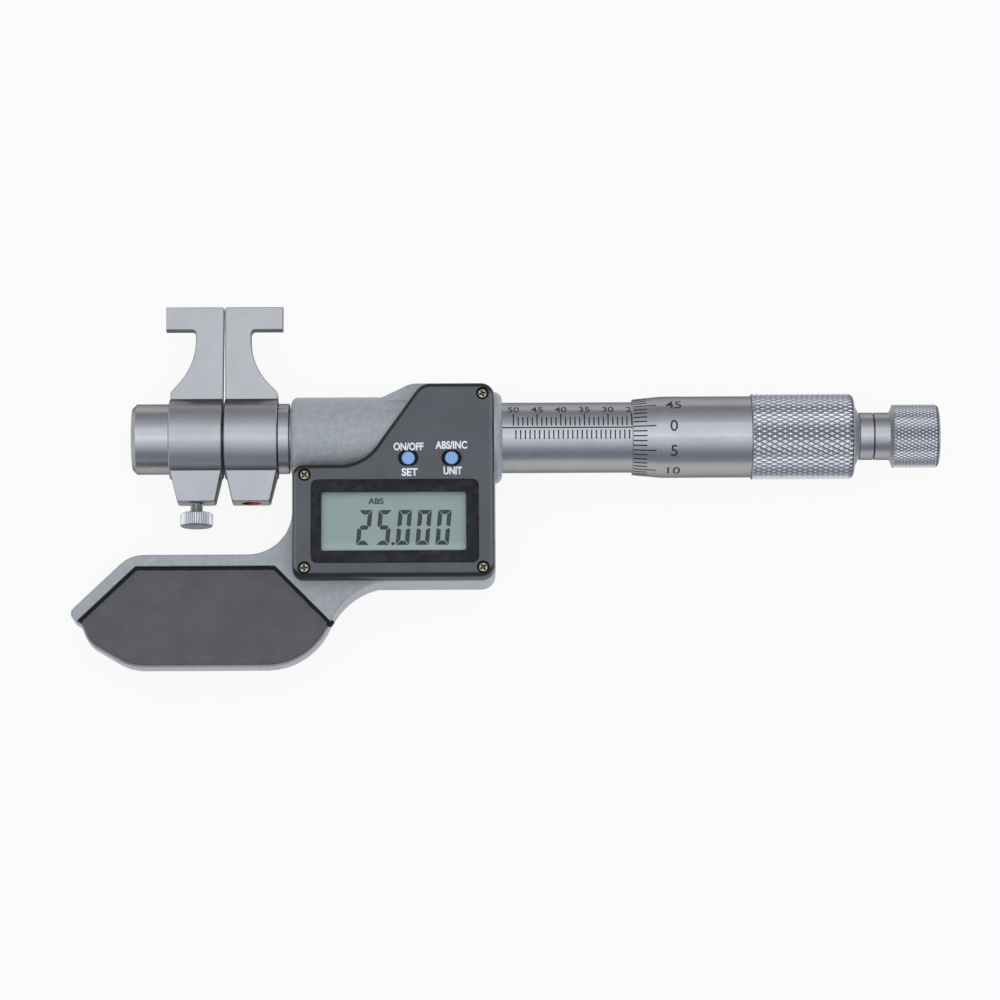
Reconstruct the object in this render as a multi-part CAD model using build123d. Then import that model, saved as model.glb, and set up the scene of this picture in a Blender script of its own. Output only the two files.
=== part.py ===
from build123d import *
import math
import os

# Inside micrometer, 25 to 50 mm, lying on its back. All lengths are millimetres.
# It is drawn with the spindle line along X through the origin, the jaws towards +Y
# and the display towards +Z. At the end everything moves so that the origin is at the
# middle of the bottom of the whole object. The jaws are drawn closed.

# Fits
FIT = 0.02
RUNNING = 0.05
FREE = 0.25
EDGE_BREAK = 0.2

# Measuring range
TRAVEL = 25.0
MEASURING_SPAN = 25.0
MEASURING_RADIUS = 11.0
THREAD_LEAD = 0.5

# Jaws
JAW_SPLIT_X = -58.62
JAW_TIP_Y = 28.45
WING_HEIGHT = 5.0
WING_CORNER = 0.9
TIP_CORNER = 0.5
JAW_THICKNESS = 3.0
JAW_TIP_GAP = 0.16
JAW_RING_GAP = 0.44
MOVING_NECK_WIDTH = 6.1
MOVING_NECK_FOOT_Y = 16.1
MOVING_SHOULDER_ROUNDING = 0.9
FIXED_NECK_WIDTH = 5.7
FIXED_NECK_FOOT_Y = 15.2
FIXED_SHOULDER_ROUNDING = 2.2
NECK_ROUNDING = 14.0
SHOULDER_Y = 9.9
SHOULDER_REACH = 11.45
RING_REACH = 11.5
RING_RADIUS = 8.6
TAIL_OFFSET = 5.8
TAIL_BOTTOM_Y = -13.9
TAIL_WIDTH = 8.0
TAIL_TOP_THICKNESS = 8.4
TAIL_BOTTOM_THICKNESS = 5.6
TAIL_CORNER = 0.6

# Rod, holder and guide bush
ROD_DIAMETER = 7.6
ROD_LEFT_X = -75.0
ROD_RIGHT_X = -9.0
KEYWAY_WIDTH = 2.5
KEYWAY_DEPTH = 1.2
SPIGOT_DIAMETER = 11.4
STUB_DIAMETER = 15.0
STUB_LENGTH = 7.9
STUB_CHAMFER = 0.9
COLLAR_DIAMETER = 15.0
COLLAR_LENGTH = 2.5
BUSH_SHANK_DIAMETER = 12.0
BUSH_RIGHT_X = -33.5
JOINT_BORE_DIAMETER = 5.0
JOINT_BORE_DEPTH = 6.5
CLIP_GROOVE_DIAMETER = 6.2
CLIP_INSET = 3.8
CLIP_THICKNESS = 0.7

# Screws in the jaws
KEY_SCREW_DIAMETER = 4.0
KEY_SCREW_SINK = 0.9
KEY_SOCKET_DEPTH = 2.0
KEY_SOCKET_WIDTH = 2.0
CLAMP_SHANK_DIAMETER = 2.8
CLAMP_EXPOSED = 2.1
CLAMP_HEAD_DIAMETER = 7.0
CLAMP_HEAD_HEIGHT = 2.9
CLAMP_FLUTES = 28
CLAMP_FLUTE_DEPTH = 0.3
CLAMP_DISH_DEPTH = 0.35

# Casting
BARREL_RADIUS = 8.8
BARREL_ROUNDING = 1.4
BARREL_LEFT_X = -44.3
BARREL_STEP_LEFT_X = -27.1
CROWN_LEFT_X = -18.9
STEP_DROP = 1.8
BOSS_RADIUS = 9.8
BOSS_ROUNDING = 1.8
BOSS_LENGTH = 8.0
BOSS_FACE_X = 0.4
HOUSING_LEFT_X = -44.0
HOUSING_RIGHT_X = -1.1
HOUSING_TOP_Y = 11.0
HOUSING_BOTTOM_Y = -31.55
HOUSING_BACK_Z = -9.9
HOUSING_BACK_ROUNDING = 3.2
HOUSING_CORNER = 3.0
SEAT_Z = 5.0
RIM_EDGE = 0.5
HANDLE_TOP_Y = -25.6
HANDLE_SHOULDER_X = -78.1
HANDLE_SHOULDER_ROUNDING = 7.0
HANDLE_BOTTOM_Y = -49.3
HANDLE_TIP_X = -91.3
HANDLE_TIP_Y = -38.15
HANDLE_TIP_ROUNDING = 1.5
HANDLE_NOTCH_LEFT_X = -88.4
HANDLE_NOTCH_RIGHT_X = -35.95
HANDLE_NOTCH_Y = -40.2
HANDLE_NOTCH_ROUNDING = 0.6
HANDLE_CHIN_X = -86.8
HANDLE_CHIN_Y = -44.1
HANDLE_CHIN_ROUNDING = 5.4
HANDLE_BOTTOM_LEFT_X = HANDLE_SHOULDER_X
HANDLE_BOTTOM_LEFT_ROUNDING = 11.0
HANDLE_BOTTOM_RIGHT_X = -40.0
HANDLE_BOTTOM_RIGHT_ROUNDING = 14.5
HANDLE_HEEL_X = -32.0
HANDLE_HEEL_ROUNDING = 14.5
THROAT_ROUNDING = 9.3
PAD_CORNER_Y = -42.6
PAD_TOP_LEFT_X = -77.0
PAD_TOP_RIGHT_X = -47.6
PAD_RIGHT_X = -33.2
PAD_LEFT_X = -92.4
RIM_WIDTH = 2.4
RIM_HALF_THICKNESS = 5.0
WEB_HALF_THICKNESS = 2.8
PAD_THICKNESS = 1.1
PAD_GROOVE = 0.45
PAD_INSET = 0.45
PAD_EDGE = 0.25
ROD_BORE_RADIUS = 4.2
BAY_RADIUS = 7.2
BAY_LEFT_X = -9.8
BAY_RIGHT_X = -4.8

# Cover and display
COVER_FRONT_Z = 10.0
COVER_WALL = 1.6
COVER_EDGE = 1.0
COVER_LEFT_X = -43.75
COVER_RIGHT_X = -1.4
COVER_TOP_Y = 10.05
COVER_BOTTOM_Y = -31.35
COVER_STEP_Y = -7.35
COVER_DIAGONAL_FOOT_X = -28.95
COVER_DIAGONAL_HEAD_X = -16.65
WINDOW_LEFT_X = -39.9
WINDOW_WIDTH = 35.3
WINDOW_TOP_Y = -10.6
WINDOW_HEIGHT = 17.8
WINDOW_CORNER = 1.4
WINDOW_THICKNESS = 1.0
WINDOW_LEDGE = 1.0
LCD_WIDTH = 32.6
LCD_HEIGHT = 15.2
LCD_THICKNESS = 2.0
BOARD_THICKNESS = 1.0
BOARD_OVERLAP = 0.6
BOARD_TAB_LEFT_X = -24.0
BOARD_TAB_RIGHT_X = -8.2
BOARD_TAB_TOP_Y = -2.4
POCKET_FLOOR_Z = -1.2
SCREW_HEAD_DIAMETER = 2.2
SCREW_HEAD_HEIGHT = 0.8
SCREW_SINK = 0.25
SCREW_SHANK_DIAMETER = 1.4
SCREW_END_Z = 2.4
SCREW_RECESS_DIAMETER = 2.7
SCREW_POST_RADIUS = 1.9
SCREW_PLACES = ((-3.75, 7.75), (-41.25, -9.55), (-41.25, -29.35), (-3.75, -29.35))

# Buttons
BUTTON_Y = -6.1
ON_OFF_X = -19.4
MODE_X = -10.3
BUTTON_DIAMETER = 2.8
BUTTON_FLANGE_DIAMETER = 3.8
BUTTON_FLANGE_THICKNESS = 0.6
BUTTON_PROUD = 0.15
BUTTON_TRAVEL = 0.6
BEZEL_WIDTH = 4.3
BEZEL_HEIGHT = 3.4
BEZEL_SINK = 0.35
SWITCH_SIZE = 3.2

# Battery and its cap
BATTERY_X = -22.0
BATTERY_Y = -19.5
BATTERY_DIAMETER = 11.6
BATTERY_HEIGHT = 5.4
CAP_DIAMETER = 15.0
CAP_THICKNESS = 2.0
CAP_SINK = 0.2
CAP_SLOT_WIDTH = 1.6
CAP_SLOT_DEPTH = 0.8
CAP_LUG_REACH = 0.8
CAP_LUG_HEIGHT = 0.8
CAP_LUG_ANGLE = 40.0
CAP_TURN = 60.0
RING_SECTION = 0.9
RING_DEPTH = 0.65
RING_SIDES = 8
CONTACT_THICKNESS = 0.3
CONTACT_WIDTH = 2.6
CONTACT_REACH = 4.6

# Encoder
STATOR_THICKNESS = 1.2
ROTOR_THICKNESS = 1.6
ENCODER_GAP = 0.4
ROTOR_RADIUS = 6.6
SPINDLE_KEYWAY_WIDTH = 1.1
SPINDLE_KEYWAY_DEPTH = 0.8

# Spindle, sleeves and nut
SPINDLE_DIAMETER = 6.6
THREAD_DIAMETER = 7.4
SPINDLE_THREAD_X = 28.6
NUT_LEFT_X = 30.0
NUT_LENGTH = 12.0
INNER_SLEEVE_DIAMETER = 11.0
INNER_SLEEVE_SPIGOT_DIAMETER = 9.2
INNER_SLEEVE_LEFT_X = BAY_RIGHT_X + 0.1
INNER_SLEEVE_RIGHT_X = 43.0
BEARING_LENGTH = 5.5
SLIT_WIDTH = 0.5
SLIT_LENGTH = 6.0
ADJUSTING_NUT_DIAMETER = 13.6
ADJUSTING_NUT_LENGTH = 5.0
SLEEVE_DIAMETER = 15.0
SLEEVE_RIGHT_X = 35.0
SLEEVE_HOLE_DIAMETER = 1.2
SLEEVE_HOLE_X = 4.0

# Thimble
THIMBLE_LEFT_X = 28.0
THIMBLE_EDGE_DIAMETER = 16.1
THIMBLE_DIAMETER = 17.3
THIMBLE_BEVEL_LENGTH = 6.2
THIMBLE_WALL_GAP = 0.1
GRIP_LEFT_X = 53.2
GRIP_DIAMETER = 18.2
GRIP_RIGHT_X = 73.9
THIMBLE_ROUND_X = 74.95
THIMBLE_SHOULDER_X = 75.5
THIMBLE_SHOULDER_DIAMETER = 12.4
THIMBLE_RIGHT_X = 76.3
THIMBLE_BOTTOM_X = 69.0
TAPER_SMALL_DIAMETER = 5.6
TAPER_LARGE_DIAMETER = 7.0

# Ratchet
NECK_DIAMETER = 10.1
RATCHET_FLANGE_RIGHT_X = 79.3
RATCHET_STEM_DIAMETER = 4.4
RATCHET_TEETH = 12
TOOTH_HEIGHT = 0.5
PAWL_RADIUS = 3.7
PAWL_THICKNESS = 1.4
PAWL_LUG = 0.7
KNOB_GAP = 0.12
KNOB_NECK_RIGHT_X = 82.7
KNOB_DIAMETER = 13.5
KNOB_CONE_LENGTH = 0.7
KNOB_RIGHT_X = 93.2
KNOB_END_ROUNDING = 0.8
KNOB_CHAMBER_RADIUS = 3.9
KNOB_CHAMBER_RIGHT_X = 86.4
KNOB_RECESS_RADIUS = 3.6
KNOB_RECESS_LEFT_X = 90.2
SPRING_WIRE = 0.55
SPRING_RADIUS = 3.1
SPRING_TURNS = 3
RATCHET_SCREW_HEAD_DIAMETER = 5.6
RATCHET_SCREW_HEAD_HEIGHT = 1.6
RATCHET_SCREW_SLOT_WIDTH = 0.9
RATCHET_SCREW_SLOT_DEPTH = 0.8

# Places that follow from the sizes above
LEFT_TAIL_X = JAW_SPLIT_X - TAIL_OFFSET
RIGHT_TAIL_X = JAW_SPLIT_X + TAIL_OFFSET
COLLAR_LEFT_X = JAW_SPLIT_X + RING_REACH
COLLAR_RIGHT_X = COLLAR_LEFT_X + COLLAR_LENGTH
HOLDER_RIGHT_X = JAW_SPLIT_X - JAW_RING_GAP / 2 - EDGE_BREAK
BUSH_LEFT_X = JAW_SPLIT_X + JAW_RING_GAP / 2 + EDGE_BREAK
WINDOW_X = WINDOW_LEFT_X + WINDOW_WIDTH / 2
WINDOW_Y = WINDOW_TOP_Y - WINDOW_HEIGHT / 2
BOARD_TOP_Z = SEAT_Z + BOARD_THICKNESS
PLATE_BACK_Z = COVER_FRONT_Z - COVER_WALL
CAP_BACK_Z = HOUSING_BACK_Z + CAP_SINK
CAP_INNER_Z = CAP_BACK_Z + CAP_THICKNESS
BATTERY_TOP_Z = CAP_INNER_Z + BATTERY_HEIGHT
ROTOR_RIGHT_X = BAY_RIGHT_X - STATOR_THICKNESS - ENCODER_GAP
SPINDLE_TAIL_X = THIMBLE_BOTTOM_X


def outline(corners):
    """Closed flat outline from corners given as (x, y, rounding)."""
    points = [(x, y) for x, y, _ in corners]
    radii = [rounding for _, _, rounding in corners]
    return make_face(FilletPolyline(*points, radius=radii, close=True))


def slab(face, low, high):
    """A flat outline made solid between two heights."""
    return extrude(Pos(0, 0, low) * face, amount=high - low, dir=(0, 0, 1))


def turned(profile):
    """Solid of revolution about the spindle line, from (x, radius) points."""
    return revolve(make_face(Polyline(*profile, close=True)), Axis.X)


def bar(left, right, radius):
    """Round bar along the spindle line."""
    return Pos((left + right) / 2, 0, 0) * Rot(0, 90, 0) * Cylinder(radius, right - left)


def upright(x, y, low, high, radius):
    """Round bar along Z."""
    return Pos(x, y, (low + high) / 2) * Cylinder(radius, high - low)


def cross(x, low, high, radius):
    """Round bar along Y through the spindle line."""
    return Pos(x, (low + high) / 2, 0) * Rot(90, 0, 0) * Cylinder(radius, high - low)


def block(left, right, bottom, top, low, high):
    """Box between limits along X, Y and Z."""
    middle = Pos((left + right) / 2, (bottom + top) / 2, (low + high) / 2)
    return middle * Box(right - left, top - bottom, high - low)


# Jaws


def jaw_plate(neck_width, neck_foot_y, shoulder_rounding):
    """Left jaw's flat plate: wing, neck and shoulders, drawn from the split at X = 0."""
    tip = -JAW_TIP_GAP / 2
    foot = -JAW_RING_GAP / 2
    reach = MEASURING_SPAN / 2
    wing_y = JAW_TIP_Y - WING_HEIGHT
    face = outline(
        [
            (tip, JAW_TIP_Y, TIP_CORNER),
            (-reach, JAW_TIP_Y, 0),
            (-reach, wing_y, 0),
            (-neck_width, wing_y, WING_CORNER),
            (-neck_width, neck_foot_y, NECK_ROUNDING),
            (-SHOULDER_REACH, SHOULDER_Y, shoulder_rounding),
            (-SHOULDER_REACH, 0, 0),
            (foot, 0, 0),
            (foot, SHOULDER_Y, 0),
        ]
    )
    plate = slab(face, -JAW_THICKNESS / 2, JAW_THICKNESS / 2)
    plate = chamfer(plate.faces().sort_by(Axis.Z)[-1].edges(), EDGE_BREAK)
    plate = chamfer(plate.faces().sort_by(Axis.Z)[0].edges(), EDGE_BREAK)
    rounded_end = Pos(MEASURING_RADIUS - reach, JAW_TIP_Y / 2, 0) * Rot(90, 0, 0)
    return plate & rounded_end * Cylinder(MEASURING_RADIUS, 2 * JAW_TIP_Y)


def jaw_tail():
    """Tapered tail below the ring, drawn from the split at X = 0."""
    root_y = -math.sqrt(RING_RADIUS**2 - (TAIL_TOP_THICKNESS / 2) ** 2)
    root_width = RING_REACH - JAW_RING_GAP / 2 - 2 * EDGE_BREAK
    middle = -(RING_REACH + JAW_RING_GAP / 2) / 2
    root = Plane(origin=(middle, root_y, 0), x_dir=(1, 0, 0), z_dir=(0, -1, 0))
    foot = Plane(origin=(-TAIL_OFFSET, TAIL_BOTTOM_Y, 0), x_dir=(1, 0, 0), z_dir=(0, -1, 0))
    tail = loft(
        [
            root * Rectangle(root_width, TAIL_TOP_THICKNESS),
            foot * Rectangle(TAIL_WIDTH, TAIL_BOTTOM_THICKNESS),
        ]
    )
    side_edges = tail.faces().sort_by(Axis.Y)[0].edges().filter_by(Axis.Z)
    tail = fillet(side_edges, TAIL_CORNER)
    return chamfer(tail.faces().sort_by(Axis.Y)[0].edges(), EDGE_BREAK)


def jaw_body(plate):
    """Left jaw without its screw hole, drawn from the split at X = 0."""
    ring_left = -RING_REACH
    ring_right = -JAW_RING_GAP / 2
    ring = chamfer(bar(ring_left, ring_right, RING_RADIUS).edges(), EDGE_BREAK)
    body = ring + plate + jaw_tail()
    return body - bar(ring_left - 1, ring_right + 1, SPIGOT_DIAMETER / 2 + FIT)


def moving_jaw():
    plate = jaw_plate(MOVING_NECK_WIDTH, MOVING_NECK_FOOT_Y, MOVING_SHOULDER_ROUNDING)
    jaw = Pos(JAW_SPLIT_X, 0, 0) * jaw_body(plate)
    hole = cross(LEFT_TAIL_X, TAIL_BOTTOM_Y - 1, 0, CLAMP_SHANK_DIAMETER / 2 + RUNNING)
    return jaw - hole


def fixed_jaw():
    plate = jaw_plate(FIXED_NECK_WIDTH, FIXED_NECK_FOOT_Y, FIXED_SHOULDER_ROUNDING)
    jaw = Pos(JAW_SPLIT_X, 0, 0) * mirror(jaw_body(plate), Plane.YZ)
    return jaw - cross(RIGHT_TAIL_X, TAIL_BOTTOM_Y - 1, 0, KEY_SCREW_DIAMETER / 2 + FIT)


def key_screw():
    """Set screw whose point runs in the rod's keyway."""
    bottom = TAIL_BOTTOM_Y + KEY_SCREW_SINK
    shoulder = -SPIGOT_DIAMETER / 2 + FIT
    point = -ROD_DIAMETER / 2 + KEYWAY_DEPTH - FREE
    body = cross(RIGHT_TAIL_X, bottom, shoulder - 2 * FIT, KEY_SCREW_DIAMETER / 2)
    dog = cross(RIGHT_TAIL_X, bottom, point, KEYWAY_WIDTH / 2 - RUNNING)
    socket = Plane(origin=(RIGHT_TAIL_X, bottom, 0), x_dir=(1, 0, 0), z_dir=(0, 1, 0))
    hexagon = socket * RegularPolygon(KEY_SOCKET_WIDTH / 2, 6, major_radius=False)
    return body + dog - extrude(hexagon, amount=KEY_SOCKET_DEPTH)


def clamp_screw():
    """Thumb screw with a fluted, slightly dished head."""
    head_top = TAIL_BOTTOM_Y - CLAMP_EXPOSED
    head_bottom = head_top - CLAMP_HEAD_HEIGHT
    radius = CLAMP_HEAD_DIAMETER / 2
    shank = cross(LEFT_TAIL_X, head_top, -SPIGOT_DIAMETER / 2 - FIT, CLAMP_SHANK_DIAMETER / 2)
    head = chamfer(cross(LEFT_TAIL_X, head_bottom, head_top, radius).edges(), CLAMP_FLUTE_DEPTH)
    for step in range(CLAMP_FLUTES):
        angle = 360 * step / CLAMP_FLUTES
        groove = Pos(radius, 0, 0) * Rot(0, 0, 45) * Box(CLAMP_FLUTE_DEPTH, CLAMP_FLUTE_DEPTH, 9)
        head -= Pos(LEFT_TAIL_X, head_bottom, 0) * Rot(90, 0, 0) * Rot(0, 0, angle) * groove
    dish = Pos(LEFT_TAIL_X, head_bottom, 0) * Rot(90, 0, 0)
    head -= dish * Cone(radius - 1.4, radius - 0.7, 2 * CLAMP_DISH_DEPTH)
    return shank + head


# Sliding rod and what holds it


def jaw_holder():
    """Round stub with the spigot of the moving jaw, bored for the rod from the right."""
    stub_right = JAW_SPLIT_X - RING_REACH
    stub = chamfer(
        bar(stub_right - STUB_LENGTH, stub_right, STUB_DIAMETER / 2).faces().sort_by(Axis.X)[0].edges(),
        STUB_CHAMFER,
    )
    spigot = bar(stub_right, HOLDER_RIGHT_X, SPIGOT_DIAMETER / 2)
    return stub + spigot - bar(ROD_LEFT_X, HOLDER_RIGHT_X + 1, ROD_DIAMETER / 2 + FIT)


def guide_rod():
    """Rod with a keyway below and a bore at its right end for the turning spindle."""
    radius = ROD_DIAMETER / 2
    rod = bar(ROD_LEFT_X, ROD_RIGHT_X, radius)
    keyway_left = RIGHT_TAIL_X - KEYWAY_WIDTH
    keyway_right = RIGHT_TAIL_X + TRAVEL + KEYWAY_WIDTH
    keyway_top = KEYWAY_DEPTH - radius
    half = KEYWAY_WIDTH / 2
    rod -= block(keyway_left, keyway_right, -2 * radius, keyway_top, -half, half)
    rod -= bar(ROD_RIGHT_X - JOINT_BORE_DEPTH, ROD_RIGHT_X + 1, JOINT_BORE_DIAMETER / 2)
    clip_x = ROD_RIGHT_X - CLIP_INSET
    half_groove = CLIP_THICKNESS / 2 + RUNNING
    return rod - bar(clip_x - half_groove, clip_x + half_groove, CLIP_GROOVE_DIAMETER / 2)


def spindle_clip():
    """Open ring in the rod's groove that keeps the spindle's nose."""
    clip_x = ROD_RIGHT_X - CLIP_INSET
    half = CLIP_THICKNESS / 2
    ring = bar(clip_x - half, clip_x + half, CLIP_GROOVE_DIAMETER / 2 - RUNNING)
    ring -= bar(clip_x - 1, clip_x + 1, JOINT_BORE_DIAMETER / 2 - 0.6)
    return ring - block(clip_x - 1, clip_x + 1, 0, 9, -0.4, 0.4)


def guide_bush():
    """Bush with the fixed jaw's spigot, a collar and a shank in the barrel."""
    spigot = bar(BUSH_LEFT_X, COLLAR_LEFT_X, SPIGOT_DIAMETER / 2)
    collar = chamfer(bar(COLLAR_LEFT_X, COLLAR_RIGHT_X, COLLAR_DIAMETER / 2).edges(), EDGE_BREAK)
    shank = bar(COLLAR_RIGHT_X, BUSH_RIGHT_X, BUSH_SHANK_DIAMETER / 2)
    bush = spigot + collar + shank
    bush -= bar(BUSH_LEFT_X - 1, BUSH_RIGHT_X + 1, ROD_DIAMETER / 2 + RUNNING)
    return bush - cross(RIGHT_TAIL_X, -SPIGOT_DIAMETER, 0, KEYWAY_WIDTH / 2 - RUNNING + FIT)


# Casting and grip pads


def housing_corners(rounding):
    """Corners of the housing that both its outlines share, from bottom right upwards."""
    step_y = BARREL_RADIUS - STEP_DROP
    return [
        (HOUSING_RIGHT_X, HOUSING_BOTTOM_Y, rounding),
        (HOUSING_RIGHT_X, HOUSING_TOP_Y, rounding),
        (CROWN_LEFT_X, HOUSING_TOP_Y, 5.0),
        (BARREL_STEP_LEFT_X, step_y, 3.0),
        (HOUSING_LEFT_X, step_y, 0.6),
    ]


def housing_outline():
    return outline([*housing_corners(HOUSING_CORNER), (HOUSING_LEFT_X, HOUSING_BOTTOM_Y, 4.0)])


def frame_outline():
    """Handle and housing in one outline, with the round throat between them."""
    return outline(
        [
            *housing_corners(HOUSING_CORNER),
            (HOUSING_LEFT_X, HANDLE_TOP_Y, THROAT_ROUNDING),
            (HANDLE_SHOULDER_X, HANDLE_TOP_Y, HANDLE_SHOULDER_ROUNDING),
            (HANDLE_TIP_X, HANDLE_TIP_Y, HANDLE_TIP_ROUNDING),
            (HANDLE_NOTCH_LEFT_X, HANDLE_NOTCH_Y, HANDLE_NOTCH_ROUNDING),
            (HANDLE_CHIN_X, HANDLE_CHIN_Y, HANDLE_CHIN_ROUNDING),
            (HANDLE_BOTTOM_LEFT_X, HANDLE_BOTTOM_Y, HANDLE_BOTTOM_LEFT_ROUNDING),
            (HANDLE_BOTTOM_RIGHT_X, HANDLE_BOTTOM_Y, HANDLE_BOTTOM_RIGHT_ROUNDING),
            (HANDLE_NOTCH_RIGHT_X, HANDLE_NOTCH_Y, HANDLE_NOTCH_ROUNDING),
            (HANDLE_HEEL_X, HOUSING_BOTTOM_Y, HANDLE_HEEL_ROUNDING),
        ]
    )


def recess_outline(inset):
    """The pad's recess under the rim: it runs out past the handle's lower edge."""
    top = HANDLE_TOP_Y - RIM_WIDTH - inset
    slant = inset * math.tan(math.radians(22.5))
    aside = inset * math.sqrt(2)
    below = HANDLE_BOTTOM_Y - 5
    return outline(
        [
            (PAD_TOP_LEFT_X + slant, top, 0.8),
            (PAD_TOP_RIGHT_X - slant, top, 0.8),
            (PAD_RIGHT_X - aside, PAD_CORNER_Y, 0.4),
            (PAD_RIGHT_X - aside, below, 0),
            (PAD_LEFT_X + aside, below, 0),
            (PAD_LEFT_X + aside, PAD_CORNER_Y, 0.4),
        ]
    )


def pad(front):
    """Thin grip pad that fills the recess on one side of the handle."""
    body = offset(frame_outline(), amount=-PAD_INSET) & recess_outline(PAD_GROOVE)
    plate = slab(body, WEB_HALF_THICKNESS, WEB_HALF_THICKNESS + PAD_THICKNESS)
    plate = chamfer(plate.faces().sort_by(Axis.Z)[-1].edges(), PAD_EDGE)
    return plate if front else mirror(plate, Plane.XY)


def cover_outline():
    return outline(
        [
            (COVER_RIGHT_X, COVER_TOP_Y, 2.6),
            (COVER_DIAGONAL_HEAD_X, COVER_TOP_Y, 3.7),
            (COVER_DIAGONAL_FOOT_X, COVER_STEP_Y, 9.7),
            (COVER_LEFT_X, COVER_STEP_Y, 2.2),
            (COVER_LEFT_X, COVER_BOTTOM_Y, 2.2),
            (COVER_RIGHT_X, COVER_BOTTOM_Y, 2.8),
        ]
    )


def boss():
    """Round boss behind the sleeve, with a rounded edge."""
    end = fillet(
        bar(BOSS_FACE_X - BOSS_LENGTH, BOSS_FACE_X, BOSS_RADIUS).faces().sort_by(Axis.X)[-1].edges(),
        BOSS_ROUNDING,
    )
    return end


def barrel():
    """Round barrel through the housing, with a rounded left edge."""
    return fillet(
        bar(BARREL_LEFT_X, HOUSING_RIGHT_X, BARREL_RADIUS).faces().sort_by(Axis.X)[0].edges(),
        BARREL_ROUNDING,
    )


def pocket_outline():
    """Electronics pocket under the board."""
    left = WINDOW_LEFT_X + 1.5
    right = WINDOW_LEFT_X + WINDOW_WIDTH - 2.2
    bottom = WINDOW_TOP_Y - WINDOW_HEIGHT + 0.4
    top = -BARREL_RADIUS - 0.6
    return Pos((left + right) / 2, (bottom + top) / 2) * RectangleRounded(right - left, top - bottom, 1.5)


def battery_well():
    """Stepped round hole from the back: cap seat, bayonet groove, cell and contact."""
    x, y = BATTERY_X, BATTERY_Y
    seat = upright(x, y, HOUSING_BACK_Z - 1, CAP_INNER_Z, CAP_DIAMETER / 2 + RUNNING)
    groove_low = CAP_INNER_Z - CAP_LUG_HEIGHT - RUNNING
    reach = CAP_DIAMETER / 2 + CAP_LUG_REACH + RUNNING
    well = seat + upright(x, y, groove_low, CAP_INNER_Z, reach)
    well += upright(x, y, CAP_INNER_Z - 0.5, BATTERY_TOP_Z + RUNNING, BATTERY_DIAMETER / 2 + RUNNING)
    well += upright(x, y, BATTERY_TOP_Z - 0.5, POCKET_FLOOR_Z + 1, BATTERY_DIAMETER / 2 - 1.2)
    for side in (0, 180):
        entry = lug_sector(reach, HOUSING_BACK_Z - 1, CAP_INNER_Z, 2.0)
        well += Pos(x, y, 0) * Rot(0, 0, side - CAP_TURN) * entry
    return well


def lug_sector(reach, low, high, extra):
    """Sector of a round disc, as wide as a bayonet lug and some degrees more."""
    half = math.radians(CAP_LUG_ANGLE / 2 + extra)
    far = 2 * reach
    side = far * math.tan(half)
    wedge = make_face(Polyline((0, 0), (far, -side), (far, side), close=True))
    return slab(wedge, low, high) & Pos(0, 0, (low + high) / 2) * Cylinder(reach, high - low)


def frame_casting():
    """One casting: handle rim and web, housing tray, spindle barrel and boss."""
    plate = slab(frame_outline(), -RIM_HALF_THICKNESS, RIM_HALF_THICKNESS)
    plate = fillet(plate.faces().sort_by(Axis.Z)[-1].edges(), RIM_EDGE)
    plate = fillet(plate.faces().sort_by(Axis.Z)[0].edges(), RIM_EDGE)
    for low, high in ((WEB_HALF_THICKNESS, 9), (-9, -WEB_HALF_THICKNESS)):
        plate -= slab(recess_outline(0), low, high)
    housing = slab(housing_outline(), HOUSING_BACK_Z, 0)
    housing = fillet(housing.faces().sort_by(Axis.Z)[0].edges(), HOUSING_BACK_ROUNDING)
    casting = plate + housing + barrel() + boss()
    casting -= slab(offset(cover_outline(), amount=RUNNING), SEAT_Z, 2 * COVER_FRONT_Z)
    casting -= slab(pocket_outline(), POCKET_FLOOR_Z, 2 * SEAT_Z)
    casting -= bar(BARREL_LEFT_X - 1, BUSH_RIGHT_X, BUSH_SHANK_DIAMETER / 2 + FIT)
    casting -= bar(BUSH_RIGHT_X - 1, BAY_LEFT_X + 1, ROD_BORE_RADIUS)
    casting -= bar(BAY_LEFT_X, BAY_RIGHT_X, BAY_RADIUS)
    casting -= block(BAY_LEFT_X, BAY_RIGHT_X, -BAY_RADIUS, BAY_RADIUS, 0, 2 * SEAT_Z)
    casting -= bar(BAY_RIGHT_X - 1, BOSS_FACE_X + 1, INNER_SLEEVE_SPIGOT_DIAMETER / 2 + FIT)
    for x, y in SCREW_PLACES:
        casting -= upright(x, y, SCREW_END_Z, 2 * SEAT_Z, SCREW_SHANK_DIAMETER / 2 + FIT)
    return casting - battery_well()


# Cover, display and buttons


def button_hole(x, low, high, grow):
    """Oval hole of a button's bezel."""
    oval = SlotOverall(BEZEL_WIDTH + 2 * grow, BEZEL_HEIGHT + 2 * grow)
    return slab(Pos(x, BUTTON_Y) * oval, low, high)


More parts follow.
